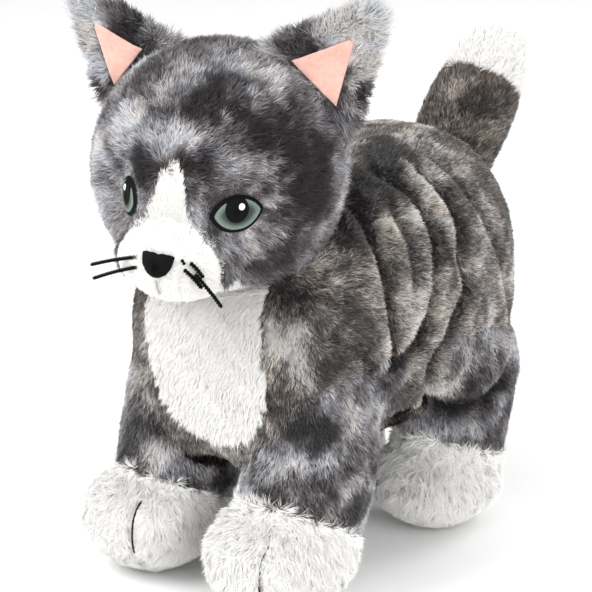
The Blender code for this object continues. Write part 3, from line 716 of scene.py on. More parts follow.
LEG_SPOTS = (
    ((0.058, -0.082, 0.090), 0.013, -0.8), ((0.064, -0.076, 0.068), 0.013, -0.6),
    ((0.048, -0.088, 0.099), 0.012, -0.7), ((0.043, -0.095, 0.058), 0.012, -0.7),
    ((0.066, -0.060, 0.052), 0.014, -0.6), ((0.032, -0.089, 0.085), 0.011, 0.8),
    ((0.043, -0.092, 0.075), 0.012, 0.7), ((0.065, -0.063, 0.098), 0.013, 0.6),
    ((0.055, -0.087, 0.078), 0.009, 0.4), ((-0.031, -0.092, 0.063), 0.012, 0.8),
    ((-0.015, -0.074, 0.057), 0.012, 0.7), ((-0.011, -0.092, 0.076), 0.012, -0.6),
    ((-0.013, -0.067, 0.048), 0.012, -0.6), ((-0.045, -0.092, 0.065), 0.012, -0.5),
    ((0.066, 0.052, 0.058), 0.018, -0.4),
)
FUR_SEED, FUR_STRETCH = (0.31, 0.17, 0.05), (1.0, 0.85, 0.75)
body_fur = dyed_fur("body_fur", 0.022, FUR_STRETCH, 0.0, BODY_SPOTS, SHINY_GREYS, 0.36, 0.2, 0.6,
                    FUR_SEED, 1.0)
leg_fur = dyed_fur("leg_fur", 0.022, FUR_STRETCH, 0.0, LEG_SPOTS, GREYS, 0.42, 0.2, 0.5,
                   FUR_SEED, 0.75)
# Painted shade: the body fur dyed darker, without sheen, for the shaded underside.
shaded_fur = dyed_fur("shaded_fur", 0.022, FUR_STRETCH, -0.75, (), SHINY_GREYS, 0.95, 0.0, 0.02,
                      FUR_SEED, 0.8)
white_fur = bleached_fur("white_fur", 0.75, SHADED_WHITE, OFF_WHITE)


FLANK_TO_BELLY, FLANK_TO_CHEST = (0.105, 0.065), (-0.06, -0.085)


def body_comb(p):
    """Back along the flanks, down the belly and chest."""
    down = rising(*FLANK_TO_BELLY, p[:, 2])[:, None]
    back = np.array((0.0, 1.0, -0.25)) * (1 - down) + np.array((0.0, 0.1, -1.0)) * down
    chest = rising(*FLANK_TO_CHEST, p[:, 1])[:, None]
    return back * (1 - chest) + np.array((0.0, 0.1, -1.0)) * chest


def clear_of_head(p):
    return np.linalg.norm(p - np.array(HEAD_CENTRE), axis=1) > HEAD_RADIUS + 1 * MM


def sectors(p, low, high):
    return (p[:, 1] >= low) & (p[:, 1] < high)


# The underside panel takes the painted-shade fur.
for skin, cloth, nodes in (
    (trunk, body_fur, ("torso_left", "torso_right")),
    (underside, shaded_fur, ("belly", "torso_wadding")),
):
    backing(skin, cloth)
    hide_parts(*nodes)
    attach(skin, "torso")
TRUNK_CUTS = (-1, -0.055, -0.025, 0.0, 0.025, 0.055, 0.08, 1)
for k, (low, high) in enumerate(zip(TRUNK_CUTS[:-1], TRUNK_CUTS[1:])):
    hairs = pile(f"trunk_pile_{k + 1}", trunk, 4.3, 3.9 * MM, body_comb, 46, 0.4 * MM, 40 + k,
                 keep=lambda p: clear_of_head(p) & sectors(p, low, high), cloth=body_fur)
    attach(hairs, "torso")

# Painted shade: the underside's pile in the darker fur.
hairs = pile("underside_pile", underside, 4.0, 4.2 * MM, body_comb, 46, 0.42 * MM, 47, cloth=shaded_fur)
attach(hairs, "torso")

backing(bib, white_fur)
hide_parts("chest_bib")
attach(bib, "torso")
hairs = pile("bib_pile", bib, 6.5, 4.8 * MM, body_comb, 40, 0.32 * MM, 51, keep=clear_of_head,
             cloth=white_fur)
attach(hairs, "torso")


# The legs and paws: grey fur tubes hung from the trunk's fabric, over long white plush
# paws that turn with the legs. The plush is clipped near the soles and parted where a toe
# line shows.
PAW_HEART, SOLE_BARE = 0.016, 0.002
PAW_SHORT, PAW_LONGER, PAW_LONGER_FROM = 3.4, 4.6, (0.004, 0.024)
PARTING_SHORT, PARTING_LONGER, PARTING_FROM = 0.45, 0.55, (0.0012, 0.0045)
TOE_PARTING = {"front_right": ("inner", 2.2), "front_left": ("outer", 1.1), "hind_left": ("inner", 0.8)}


def leg_blend(thing, tag):
    pair, side = tag.split("_")
    way = 1 if side == "left" else -1
    edge_x, edge_z = LEG_EDGE[pair]
    start = Vector((MIDDLE_X + way * edge_x * MM, 0, edge_z * MM))
    end = start + Vector((way * LEG_FACING[0], 0, LEG_FACING[1])) * LEG_TURNS_OVER * MM
    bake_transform(thing)


def leg_comb(p):
    return np.tile((0.0, 0.25, -1.0), (len(p), 1))


def paw_comb(tag):
    heart = np.array(PAW_MIDDLE[tag]) + (0, 0, PAW_HEART)
    return lambda p: unit(p - heart) + np.array((0, 0, -0.55))


def off_toes(tag):
    """Leaves the sole bare, and the pile parted along the toe lines."""
    def kept(p):
        parted = np.zeros(len(p), bool)
        if tag in TOE_PARTING:
            place, wide = TOE_PARTING[tag]
            low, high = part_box(f"toe_stitch_{place}_{tag}")
            parted = (np.abs(p[:, 0] - (low.x + high.x) / 2) < wide * MM) & (
                p[:, 1] < PAW_MIDDLE[tag].y) & (p[:, 2] > low.z + 6 * MM) & (p[:, 2] < high.z + 8 * MM)
        return (p[:, 2] > SOLE_BARE) & ~parted
    return kept


def paw_long(tag):
    """Longest on top, cropped near the sole and along the open toe line."""
    def long(p):
        trim = np.ones(len(p))
        if tag == "front_right":
            low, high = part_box(f"toe_stitch_inner_{tag}")
            aside = np.abs(p[:, 0] - (low.x + high.x) / 2)
            aside = np.where(p[:, 1] < PAW_MIDDLE[tag].y, aside, 1)
            trim = PARTING_SHORT + PARTING_LONGER * rising(*PARTING_FROM, aside)
        return (PAW_SHORT + PAW_LONGER * rising(*PAW_LONGER_FROM, p[:, 2])) * MM * trim
    return long


for n, tag in enumerate(PAWS):
    backing(legs[tag], leg_fur)
    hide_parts(f"leg_{tag}", f"leg_wadding_{tag}")
    leg_blend(legs[tag], tag)
    hairs = pile(f"leg_pile_{tag}", legs[tag], 4.0, 4.6 * MM, leg_comb, 50, 0.42 * MM, 60 + n,
                 cloth=leg_fur)
    leg_blend(hairs, tag)
    backing(paws[tag], white_fur)
    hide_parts(f"paw_{tag}", f"paw_base_{tag}")
    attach(paws[tag], f"leg_{tag}")
    hairs = pile(f"paw_pile_{tag}", paws[tag], 6.6, paw_long(tag), paw_comb(tag), 42, 0.34 * MM, 70 + n,
                 cloth=white_fur, bow=40, locks=0.9, keep=off_toes(tag))
    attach(hairs, f"leg_{tag}")


# The head: a round stuffed skin on the neck, with a soft hollow for each eye on either
# side of the nose bridge. The blaze and muzzle are short white plush, the rest grey.
# Places on the face are in millimetres from the head's middle, the face looking along -y.
HEAD_YAW = math.radians(17)
HEAD_ROLL = math.radians(4.5)
FACE_ASIDE = 2.9
HEAD_NODES = ("face_left", "face_right", "head_back_left", "head_back_right",
              "blaze_and_muzzle", "head_wadding", "neck_wadding")
HEAD_VOXEL, HEAD_EASING, EYE_EASES = 2.2 * MM, 8, 3
EYE_MIDDLE = (24.5, -46.8, -5.5)
EYES_ASIDE = 2.3
EYE_FACES = math.radians(50)
EYE_HOLLOW_FLAT, EYE_HOLLOW_EDGE, EYE_HOLLOW_TALL, EYE_HOLLOW_DEEP = 13.0, 27.0, 1.15, 25
BLAZE_EDGE = ((16, 0.5), (7, 5), (1, 7.3), (-8, 8.4), (-12, 11), (-16, 15.5), (-20, 20), (-27.5, 24),
              (-38, 23.5), (-50, 24), (-62, 26))
MUZZLE_FRONT, MUZZLE_TOP, BLAZE_BACK = -54, -19, -8
face_frame = Matrix.Translation(HEAD_CENTRE) @ Matrix.Rotation(HEAD_YAW, 4, "Z")
drawn_frame = face_frame @ Matrix.Rotation(HEAD_ROLL, 4, "Y") @ Matrix.Translation((FACE_ASIDE * MM, 0, 0))


def from_frame(place, points):
    turn = np.array(place.to_3x3())
    return np.asarray(points, float) * MM @ turn.T + np.array(place.translation)


def into_frame(place, points):
    turn = np.array(place.to_3x3())
    return (points - np.array(place.translation)) @ turn / MM


def eye_axes(side):
    """Across, up and out of the eye on one side, in the face's frame."""
    out = np.array((side * math.sin(EYE_FACES), -math.cos(EYE_FACES), 0.05))
    out /= np.linalg.norm(out)
    across = np.cross((0, 0, 1), out) * side
    across /= np.linalg.norm(across)
    return across, np.cross(across, out) * -side, out


def eye_middle(side):
    return np.array(EYE_MIDDLE) * (side, 1, 1) + eye_axes(side)[0] * side * EYES_ASIDE


def eye_spot(p, side):
    """Points in millimetres across, up and out of one eye's plane."""
    return (into_frame(drawn_frame, p) - eye_middle(side)) @ np.array(eye_axes(side)).T


head = stuffed_skin("head_skin", HEAD_NODES, HEAD_VOXEL, HEAD_EASING)
corners = shape_of(head)
for side in (1, -1):
    spot = eye_spot(corners, side)
    reach = np.hypot(spot[:, 0], spot[:, 1] * EYE_HOLLOW_TALL)
    press = 1 - rising(EYE_HOLLOW_FLAT, EYE_HOLLOW_EDGE, reach)
    press = press * (np.abs(spot[:, 2]) < EYE_HOLLOW_DEEP)
    out = from_frame(drawn_frame, eye_axes(side)[2][None]) - from_frame(drawn_frame, np.zeros((1, 3)))
    corners -= out * (spot[:, 2] * press)[:, None]
reshape(head, corners)
for _ in range(EYE_EASES):
    ease = head.modifiers.new("ease", "SMOOTH")
    ease.iterations = 1
with_modifiers(head)


def is_white_face(p):
    spot = into_frame(drawn_frame, p)
    bulge = (spot[:, 1] < MUZZLE_FRONT) & (spot[:, 2] < MUZZLE_TOP)
    return (spot[:, 1] < BLAZE_BACK) & ((np.abs(spot[:, 0]) < blaze_half(spot[:, 2])) | bulge)


def blaze_half(height):
    edge = sorted(BLAZE_EDGE)
    return np.interp(height, [z for z, _ in edge], [w for _, w in edge], left=30, right=-1)


muzzle = panel(head, "muzzle_skin", is_white_face)
face = panel(head, "face_skin", lambda p: ~is_white_face(p))
head_tree = tree_of(head, shape_of(head))
bpy.data.objects.remove(head)

HEAD_SPOTS = (
    ((-0.0135, -0.1126, 0.249), 0.017, -0.63), ((0.028, -0.107, 0.247), 0.016, -0.63),
    ((0.026, -0.118, 0.239), 0.012, -0.45), ((0.007, -0.133, 0.217), 0.010, -0.81),
    ((0.027, -0.126, 0.222), 0.011, -0.72), ((0.024, -0.1295, 0.214), 0.011, -0.63),
    ((0.057, -0.085, 0.215), 0.018, -0.72), ((0.057, -0.088, 0.202), 0.018, -0.81),
    ((0.056, -0.076, 0.222), 0.012, -0.54), ((0.041, -0.109, 0.233), 0.014, -0.63),
    ((0.046, -0.095, 0.237), 0.016, -0.45), ((0.051, -0.088, 0.183), 0.014, -0.45),
    ((0.043, -0.095, 0.173), 0.012, -0.54), ((0.036, -0.124, 0.188), 0.009, -0.27),
    ((-0.008, -0.126, 0.236), 0.012, 0.60), ((-0.019, -0.101, 0.2545), 0.014, 0.38),
    ((0.008, -0.097, 0.2595), 0.018, 0.38), ((0.030, -0.082, 0.2555), 0.016, 0.30),
    ((0.014, -0.128, 0.230), 0.013, 0.68), ((0.041, -0.116, 0.223), 0.013, 0.60),
    ((0.047, -0.1095, 0.220), 0.010, 0.45), ((-0.027, -0.127, 0.212), 0.016, 0.52),
    ((-0.016, -0.132, 0.2035), 0.014, 0.45), ((0.0465, -0.106, 0.188), 0.012, 0.38),
    ((0.025, -0.1235, 0.2307), 0.012, 0.60), ((-0.011, -0.132, 0.193), 0.014, 0.30),
    ((-0.018, -0.1275, 0.2245), 0.013, 0.45), ((-0.002, -0.1285, 0.2305), 0.012, 0.38),
    ((0.052, -0.0900, 0.2250), 0.016, -0.54), ((0.0555, -0.0790, 0.1960), 0.016, -0.36),
    ((-0.022, -0.1180, 0.2420), 0.011, 0.38), ((-0.0290, -0.1230, 0.1990), 0.012, 0.38),
)
head_fur = dyed_fur("head_fur", 0.021, (1.0, 1.0, 1.0), 0.0, HEAD_SPOTS, GREYS, 0.6, 0.25, 0.3,
                    (0.5, 0.9, 0.73), 0.6, 3.0)
NOSE_BRIDGE = np.array((0, -55, 10))
FEATURE_ACROSS, FEATURE_UP, FEATURE_DEEP, FEATURE_SCALE = 15.0, 9.6, 14, 10.5
PILE_ENDS = -1.2
FACE_PILE, BACK_LONGER, BACK_FROM, CHEEK_LONGER, CHEEK_FROM = 4.6, 2.2, (-50, -5), 1.6, (-10, -45)
EYES_SHORT, EYES_LONGER, EYES_FROM = 0.35, 0.65, (0.5, 7)


def to_features(p):
    """Distance in millimetres from the eyes' edges."""
    least = np.full(len(p), 1e9)
    for side in (1, -1):
        spot = eye_spot(p, side)
        flat = np.hypot(spot[:, 0] / FEATURE_ACROSS, spot[:, 1] / FEATURE_UP)
        near = np.where(np.abs(spot[:, 2]) < FEATURE_DEEP, (flat - 1) * FEATURE_SCALE, 1e9)
        least = np.minimum(least, near)
    return least


def face_comb(p):
    return unit(into_frame(face_frame, p) - NOSE_BRIDGE) @ np.array(face_frame.to_3x3()).T


def face_long(p):
    spot = into_frame(face_frame, p)
    back = rising(*BACK_FROM, spot[:, 1])
    low = rising(*CHEEK_FROM, spot[:, 2])
    short = EYES_SHORT + EYES_LONGER * rising(*EYES_FROM, to_features(p))
    return (FACE_PILE + BACK_LONGER * back + CHEEK_LONGER * low) * MM * short


def off_features(p):
    return to_features(p) > PILE_ENDS


for thing, cloth, title in ((face, head_fur, "grey_fur"), (muzzle, white_fur, "white_fur")):
    backing(thing, cloth)
    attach(thing, "head")
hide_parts(*[node for node in HEAD_NODES if node != "blaze_and_muzzle"])
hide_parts("blaze_and_muzzle")
HEAD_CUTS = (-1, -0.11, -0.085, -0.055, 1)
for k, (low, high) in enumerate(zip(HEAD_CUTS[:-1], HEAD_CUTS[1:])):
    hairs = pile(f"head_pile_{k + 1}", face, 4.2, face_long, face_comb, 50, 0.42 * MM, 80 + k,
                 keep=lambda p: off_features(p) & sectors(p, low, high), locks=0.6, cloth=head_fur)
    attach(hairs, "head")


MUZZLE_PILE, CHIN_LONGER, CHIN_FROM = 3.0, 2.2, (-40, -55)
NOSE_TIP, BLAZE_UP_FROM, BLAZE_UP = (0, -66, -31), 6, 20


def muzzle_long(p):
    spot = into_frame(drawn_frame, p)
    return (MUZZLE_PILE + CHIN_LONGER * rising(*CHIN_FROM, spot[:, 2])) * MM


def muzzle_comb(p):
    """Out from the nose, and up the blaze."""
    spot = into_frame(drawn_frame, p) - NOSE_TIP
    spot[:, 2] = np.where(spot[:, 2] > BLAZE_UP_FROM, spot[:, 2] + BLAZE_UP, spot[:, 2])
    return unit(spot) @ np.array(drawn_frame.to_3x3()).T


hairs = pile("muzzle_pile", muzzle, 5.5, muzzle_long, muzzle_comb, 55, 0.38 * MM, 85,
             keep=off_features, locks=0.3, cloth=white_fur)
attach(hairs, "head")


# Ears: two cupped leaves of plush, their edges fringed with long pale hair, each lined
# in front with smooth pink cloth. They are sewn to the head and fold on their bases.
EAR_VOXEL, EAR_EASING = 1.5 * MM, 3
LINING_VOXEL, LINING_EASING = 0.5 * MM, 4
EAR_BASE = (40.5, 7.5, 37.75)
LINING_PROUD, LINING_BARE = 0.7, 1.2
EAR_PILE, FRINGE_LONGER, FRINGE_FROM = 4.5, 7.0, (0.012, 0.034)
LINING_DRAWN_IN = {"left": 0.88, "right": 0.82}
EAR_SPOTS = (
    ((0.069, -0.064, 0.276), 0.026, 0.8), ((0.068, -0.055, 0.245), 0.010, -1.1),
    ((0.040, -0.066, 0.262), 0.013, -0.7), ((-0.070, -0.085, 0.276), 0.022, 0.7),
    ((-0.045, -0.090, 0.268), 0.013, -0.8), ((-0.062, -0.085, 0.240), 0.009, -1.1),
)
ear_fur = dyed_fur("ear_fur", 0.017, (1.0, 1.0, 1.0), 0.5, EAR_SPOTS, GREYS, 0.65, 0.25, 0.3,
                   (0.7, 0.2, 0.5))
pink_cloth, shader, start = vat("pink_cloth", 0.85, 0.3, 0.15)
where = start.add("ShaderNodeTexCoord", out=3)
weave = start.noise(where, 420.0, 3.0, 0.7)
wear = start.noise(where, 60.0, 2.0)
into(start, shader, "Base Color",
     (weave * 0.6 + wear * 0.5).clear(0.25, 0.85).tint(shade(204, 154, 141), shade(231, 187, 174)))
into(start, shader, "Roughness", weave * 0.2 + 0.72)
felt = start.add("ShaderNodeBump", {}, {"Strength": 0.25, "Distance": 0.0004, "Height": weave})
into(start, shader, "Normal", felt)
for side, title in ((1, "left"), (-1, "right")):
    ear = stuffed_skin(f"ear_skin_{title}", (f"ear_{title}",), EAR_VOXEL, EAR_EASING)
    lining = stuffed_skin(f"ear_lining_skin_{title}", (f"ear_lining_{title}",), LINING_VOXEL,
                          LINING_EASING)
    pink = shape_of(lining)
    pink_middle = pink.mean(0)
    pink = pink_middle + (pink - pink_middle) * LINING_DRAWN_IN[title]
    pink += np.array(face_frame.to_3x3() @ Vector((0, -LINING_PROUD * MM, 0)))
    reshape(lining, pink)
    base = Vector((side * EAR_BASE[0], *EAR_BASE[1:]))
    base = np.array(face_frame @ (base * MM))
    lining_tree = tree_of(lining, pink)

    def off_lining(p):
        near = np.array([lining_tree.find_nearest(Vector(c))[3] for c in p])
        return near > (LINING_BARE + LINING_PROUD) * MM

    def ear_comb(p):
        return unit(p - base) + 0.5 * unit(p - pink_middle)

    def ear_long(p):
        fringe = rising(*FRINGE_FROM, np.linalg.norm(p - pink_middle, axis=1))
        return (EAR_PILE + FRINGE_LONGER * fringe) * MM

    backing(ear, ear_fur)
    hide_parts(f"ear_{title}")
    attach(ear, f"ear_{title}")
    lining.data.materials.append(pink_cloth)
    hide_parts(f"ear_lining_{title}")
    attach(lining, f"ear_{title}")
    hairs = pile(f"ear_pile_{title}", ear, 5.0, ear_long, ear_comb, 40, 0.4 * MM, 90 + side,
                 keep=off_lining, joints=3, bow=20, locks=0.8, cloth=ear_fur)
    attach(hairs, f"ear_{title}")


# The tail: a stuffed tube of the browner grey fur, sewn on at the rump and standing up
# from it, with its last third cut from white plush.
TAIL_NODES = ("tail_tube", "tail_tip", "tail_wadding")
TAIL_LEAN = math.radians(40)
TIP_FROM = 55
TAIL_SPOTS = (((0.015, 0.106, 0.203), 0.014, -0.5), ((0.015, 0.092, 0.184), 0.012, -0.5),
              ((0.003, 0.104, 0.210), 0.012, 0.5), ((0.021, 0.112, 0.192), 0.012, 0.4))
tail_up = np.array((0, math.sin(TAIL_LEAN), math.cos(TAIL_LEAN)))
TAIL_PLUMP, TAIL_TAPER, TAIL_STRETCH = 2.4 * MM, 2.6 * MM, 3.0 * MM
TAPERS_FROM, STRETCHED_FROM = (40, 70), (10, 80)
TAIL_VOXEL, TAIL_EASING = 2 * MM, 5
tail = stuffed_skin("tail_skin_whole", TAIL_NODES, TAIL_VOXEL, TAIL_EASING)
tail_fur = dyed_fur("tail_fur", 0.019, (1.0, 1.0, 1.0), -0.32, TAIL_SPOTS, BROWNER_GREYS, 0.5, 0.2,
                    0.4, (0.9, 0.6, 0.1), 1.1, 1.2)


def up_tail(p):
    return (p - np.array(TAIL_ROOT)) @ tail_up / MM


longer = TAIL_STRETCH * rising(*STRETCHED_FROM, up_tail(shape_of(tail)))
plump = TAIL_PLUMP - TAIL_TAPER * rising(*TAPERS_FROM, up_tail(shape_of(tail)))
reshape(tail, shape_of(tail) + normals_of(tail) * plump[:, None] + np.outer(longer, tail_up))
grey_tail = panel(tail, "tail_skin", lambda p: up_tail(p) < TIP_FROM)
white_tail = panel(tail, "tail_tip_skin", lambda p: up_tail(p) >= TIP_FROM)
bpy.data.objects.remove(tail)
for thing, cloth, title, nodes in (
    (grey_tail, tail_fur, "grey_fur", ("tail_tube", "tail_wadding")),
    (white_tail, white_fur, "white_fur", ("tail_tip",)),
):
    backing(thing, cloth)
    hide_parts(*nodes)
    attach(thing, "tail")


def tail_comb(p):
    return np.tile(tail_up, (len(p), 1)) + np.array((0, 0.15, 0))


for thing, title, count, long, cloth, fabric, lean, joints in (
    (grey_tail, "tail_pile", 4.2, 5.2 * MM, tail_fur, "grey_fur", 50, 2),
    (white_tail, "tail_tip_pile", 6.5, 6.4 * MM, white_fur, "white_fur", 34, 3),
):
    hairs = pile(title, thing, count, long, tail_comb, lean, 0.43 * MM, 95, joints=joints,
                 locks=0.7, cloth=cloth)
    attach(hairs, "tail")


# The eyes: four layers of satin stitch on each side of the nose bridge, black round the
# edge, grey-green with paler rays, a black pupil and a small white glint.
EYE_HALF, LID_ABOVE, LID_BELOW = 13.0, 7.7, 9.0
LID_CORNER, LID_ARCH = 2.2, 0.75
EYE_TILT = math.radians(5)


def lid(angle, grown=0.0):
    """How far the eye's edge is from its middle, in millimetres."""
    reach = np.linspace(0.2, 18, 400)
    x = np.outer(np.cos(angle), reach) / (EYE_HALF + grown)
    high = np.sin(angle)[:, None] * reach
    arch = np.where(high > 0, LID_ABOVE + grown, LID_BELOW + grown)
    inside = np.abs(high) < arch * np.clip(1 - np.abs(x) ** LID_CORNER, 0, 1) ** LID_ARCH
    return reach[np.argmin(inside, axis=1)]


TUCKED_IN = 0.9


def stitched(name, place, edge, middle, lift, dome, ridges, rings=9, around=160, depth=0.10):
    """A patch of satin stitch: edge(angle) is its outline, place(points) sets it down, and
    it stands lift off the plush, domed, with ridges of this depth and a tucked-in edge."""
    angle = np.linspace(0, 2 * math.pi, around, endpoint=False)
    reach = edge(angle)
    corners, spoke = [np.array((*middle, lift + dome))], [0.0]
    for k in range(1, rings + 1):
        share = k / rings
        high = lift + dome * (1 - share**2) + depth * np.cos(angle * ridges) * (share < 1)
        high = high - (TUCKED_IN if k == rings else 0)
        for i in range(around):
            corners.append(np.array((middle[0] + math.cos(angle[i]) * reach[i] * share,
                                     middle[1] + math.sin(angle[i]) * reach[i] * share, high[i])))
            spoke.append(share)
    faces = [(0, 1 + i, 1 + (i + 1) % around) for i in range(around)]
    for k in range(rings - 1):
        for i in range(around):
            j = (i + 1) % around
            faces.append((1 + k * around + i, 1 + (k + 1) * around + i,
                          1 + (k + 1) * around + j, 1 + k * around + j))
    made = rounded(object_of(name, mesh_of(name, place(np.array(corners)), faces)))
    stamp(made.data, "spoke", np.array(spoke))
    return made


def yarn(name, dark, light, roughness=0.45, rays=False):
    made, shader, start = vat(name, roughness, 0.0, 0.12)
    where = start.add("ShaderNodeTexCoord", out=3)
    strands = start.noise(where, 900.0, 2.0)
    if rays:
        spoke = start.stamped("spoke")
        depth = spoke.clear(0.45, 1.0) * 0.75 + strands * 0.4
    else:
        depth = strands
    into(start, shader, "Base Color", depth.clear(0.2, 0.9).tint(dark, light))
    into(start, shader, "Roughness", strands * 0.3 + (roughness - 0.15))
    return made


black_yarn = yarn("black_yarn", shade(1, 1, 2), shade(12, 12, 14), 0.7)
iris_yarn = yarn("iris_yarn", shade(54, 63, 58), shade(116, 131, 123), 0.6, rays=True)
white_yarn = yarn("white_yarn", shade(232, 232, 232), shade(252, 252, 252))


def on_eye(side):
    across, up, out = eye_axes(side)
    tilted = (across * math.cos(EYE_TILT) + up * math.sin(EYE_TILT),
              up * math.cos(EYE_TILT) - across * math.sin(EYE_TILT), out)
    return lambda q: from_frame(drawn_frame, q @ np.array(tilted) + eye_middle(side))


IRIS_INSIDE, PUPIL_INSIDE = -1.0, -0.9
PUPIL, PUPIL_AT = 6.6, (-0.4, 1.4)
GLINT, GLINT_AT = 1.9, (1.6, 2.8)


def pupil_edge(angle):
    reach = np.full(len(angle), PUPIL)
    for i, a in enumerate(angle):
        for r in np.linspace(0.5, PUPIL, 60):
            x, y = PUPIL_AT[0] + math.cos(a) * r, PUPIL_AT[1] + math.sin(a) * r
            if math.hypot(x, y) > lid(np.array([math.atan2(y, x)]), PUPIL_INSIDE)[0]:
                reach[i] = r
                break
    return reach


for side, title in ((1, "left"), (-1, "right")):
    place = on_eye(side)
    rim = stitched(f"eye_rim_{title}", place, lid, (0, 0), 1.6, 0.5, 80)
    iris = stitched(f"eye_iris_skin_{title}", place, lambda a: lid(a, IRIS_INSIDE), (0, 0), 1.9,
                    0.6, 60, depth=0.12)
    pupil = stitched(f"eye_pupil_skin_{title}", place, pupil_edge, PUPIL_AT, 2.3, 0.7, 40, rings=6,
                     around=96)
    glint = stitched(f"eye_glint_skin_{title}", place, lambda a: np.full(len(a), GLINT), GLINT_AT,
                     2.9, 0.5, 14, rings=4, around=48, depth=0.05)
    for thing, cloth, node, fabric in (
        (rim, black_yarn, "outline", "black_thread"), (iris, iris_yarn, "iris", "iris_thread"),
        (pupil, black_yarn, "pupil", "black_thread"), (glint, white_yarn, "glint", "white_thread"),
    ):
        thing.data.materials.append(cloth)
        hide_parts(f"eye_{node}_{title}")
        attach(thing, "head")


# The nose: a soft triangle of black satin stitch, worked in thread on the muzzle's tip
# and standing a little proud of the plush.
NOSE_MIDDLE = (0.0, -29.0)
NOSE_SIZE = 0.94
BEFORE_FACE = -120
NOSE_EDGE = ((-7.9, 5.0), (-4, 5.6), (0, 5.2), (4, 5.6), (7.9, 5.0), (7.6, 2.4), (5.9, -1.4),
             (3.3, -4.2), (0, -5.4), (-3.3, -4.2), (-5.9, -1.4), (-7.6, 2.4))


def on_muzzle(q):
    """Sets points (across, height, out) down on the front of the head."""
    laid = []
    for across, height, out in q:
        origin = drawn_frame @ (Vector((across, BEFORE_FACE, height)) * MM)
        hit, normal, _, _ = head_tree.ray_cast(origin, drawn_frame.to_3x3() @ Vector((0, 1, 0)))
        laid.append(hit + normal * out * MM)
    return np.array([tuple(c) for c in laid])


def nose_edge(angle):
    edge = np.array(NOSE_EDGE, float)
    turn = np.arctan2(edge[:, 1], edge[:, 0])
    order = np.argsort(turn)
    reach = np.hypot(edge[:, 0], edge[:, 1])[order]
    turn = turn[order]
    a = (angle + math.pi) % (2 * math.pi) - math.pi
    return np.interp(a, np.r_[turn - 2 * math.pi, turn, turn + 2 * math.pi], np.tile(reach, 3))


nose = stitched("nose_skin", on_muzzle, lambda a: nose_edge(a) * NOSE_SIZE, NOSE_MIDDLE, 1.9, 1.5, 50)
nose.data.materials.append(black_yarn)
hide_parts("nose")
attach(nose, "head")


# The whiskers and mouth: six lengths of two-ply black cord sewn in at the muzzle and
# standing free, the short stitch that knots one of them by the nose, and a finer grey
# cord for the mouth.
WHISKERS = {
    ("upper", "left"): ((14.9, -65.4, -25.3), (20.0, -62.5, -31.9)),
    ("middle", "left"): ((13.0, -67.4, -28.2), (19.4, -62.0, -37.0)),
    ("lower", "left"): ((17.0, -64.6, -30.4), (27.0, -56.5, -46.0)),
    ("upper", "right"): ((-17.0, -60.0, -26.0), (-24.0, -52.5, -31.5)),
    ("middle", "right"): ((-10.2, -65.0, -27.4), (-34.0, -63.5, -36.0)),
    ("lower", "right"): ((-10.0, -65.5, -31.8), (-32.5, -64.0, -42.0)),
}
WHISKER_KNOT = ((11.0, -66.2, -24.2), (12.6, -66.0, -26.4))
WHISKER_BOW = 0.5
KNOT_FINE, MOUTH_FINE = 0.8, 0.6
MOUTH_TOP, MOUTH_LONG, MOUTH_LIFT = -35.2, 7.0, 1.6
PLY, PLY_APART, TWIST, PLY_SIDES, END_ROUND = 0.6, 0.44, 3.0, 8, 0.45


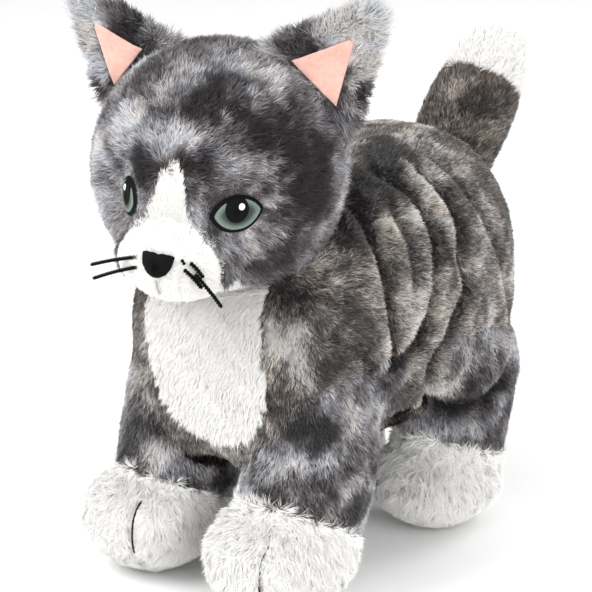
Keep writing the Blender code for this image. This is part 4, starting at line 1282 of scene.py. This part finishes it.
def cord_of(name, path, nodes, cloth, body, thick=1.0):
    """Two plies twisted along a path of points in metres."""
    path = np.array(path)
    step = unit(np.gradient(path, axis=0))
    side = unit(np.cross(step, np.tile((0.13, 0.27, 0.95), (len(path), 1))))
    other = np.cross(step, side)
    far = np.r_[0, np.cumsum(np.linalg.norm(np.diff(path, axis=0), axis=1))] / MM
    around, wide, apart = PLY_SIDES, PLY * MM * thick, PLY_APART * MM * thick
    corners, faces = [], []
    for ply in range(2):
        turn = far * 2 * math.pi / TWIST + ply * math.pi
        heart = path + (side * np.cos(turn)[:, None] + other * np.sin(turn)[:, None]) * apart
        first = len(corners)
        for k in range(len(path)):
            half = wide * (1.0 if 0 < k < len(path) - 1 else END_ROUND)
            for i in range(around):
                a = 2 * math.pi * i / around
                corners.append(heart[k] + (side[k] * math.cos(a) + other[k] * math.sin(a)) * half)
        for k in range(len(path) - 1):
            for i in range(around):
                j = (i + 1) % around
                faces.append((first + k * around + i, first + k * around + j,
                              first + (k + 1) * around + j, first + (k + 1) * around + i))
        faces.append(tuple(first + i for i in reversed(range(around))))
        faces.append(tuple(first + (len(path) - 1) * around + i for i in range(around)))
    made = rounded(object_of(name, mesh_of(name, corners, faces)))
    made.data.materials.append(cloth)
    if nodes:
        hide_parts(*nodes)
    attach(made, body)


for (row, title), (begin, end) in WHISKERS.items():
    t = np.linspace(0, 1, 40)[:, None]
    line = np.array(begin) * (1 - t) + np.array(end) * t
    line[:, 2] += WHISKER_BOW * np.sin(math.pi * t[:, 0])
    cord_of(f"whisker_cord_{row}_{title}", from_frame(drawn_frame, line),
            (f"whisker_{row}_{title}",), black_yarn, "head")

knot = from_frame(drawn_frame, np.linspace(*WHISKER_KNOT, 8))
cord_of("whisker_knot", knot, (), black_yarn, "head", thick=KNOT_FINE)

t = np.linspace(0, 1, 16)
mouth = on_muzzle(np.column_stack((0 * t, MOUTH_TOP - MOUTH_LONG * t, 0 * t + MOUTH_LIFT)))
grey_yarn = yarn("grey_yarn", shade(150, 146, 142), shade(190, 186, 180))
cord_of("mouth_cord", mouth, ("mouth_stitch",), grey_yarn, "head", thick=MOUTH_FINE)


# The toe lines: two lengths of fine black cord pulled into the front of each paw. Most
# lie sunk in the plush, and those in a parting show.
TOE_TOP, TOE_FOOT = {"front": 42, "hind": 27}, {"front": 20, "hind": 17}
TOE_LIFT, TOE_SUNK, TOE_FINE = 2.8, 1.0, 0.6
for tag in PAWS:
    pair, side = tag.split("_")
    tree = tree_of(paws[tag], shape_of(paws[tag]))
    for place in ("inner", "outer"):
        low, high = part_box(f"toe_stitch_{place}_{tag}")
        lift = TOE_LIFT if TOE_PARTING.get(tag, ("", 0))[0] == place else TOE_SUNK
        line = []
        for z in np.linspace(TOE_TOP[pair], TOE_FOOT[pair], 30) * MM:
            before = Vector(((low.x + high.x) / 2, low.y - 0.1, z))
            hit, normal, _, _ = tree.ray_cast(before, Vector((0, 1, 0)))
            line.append(tuple(hit + normal * lift * MM))
        cord_of(f"toe_cord_{place}_{tag}", line, (f"toe_stitch_{place}_{tag}",), black_yarn,
                f"leg_{tag}", thick=TOE_FINE)

low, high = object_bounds()
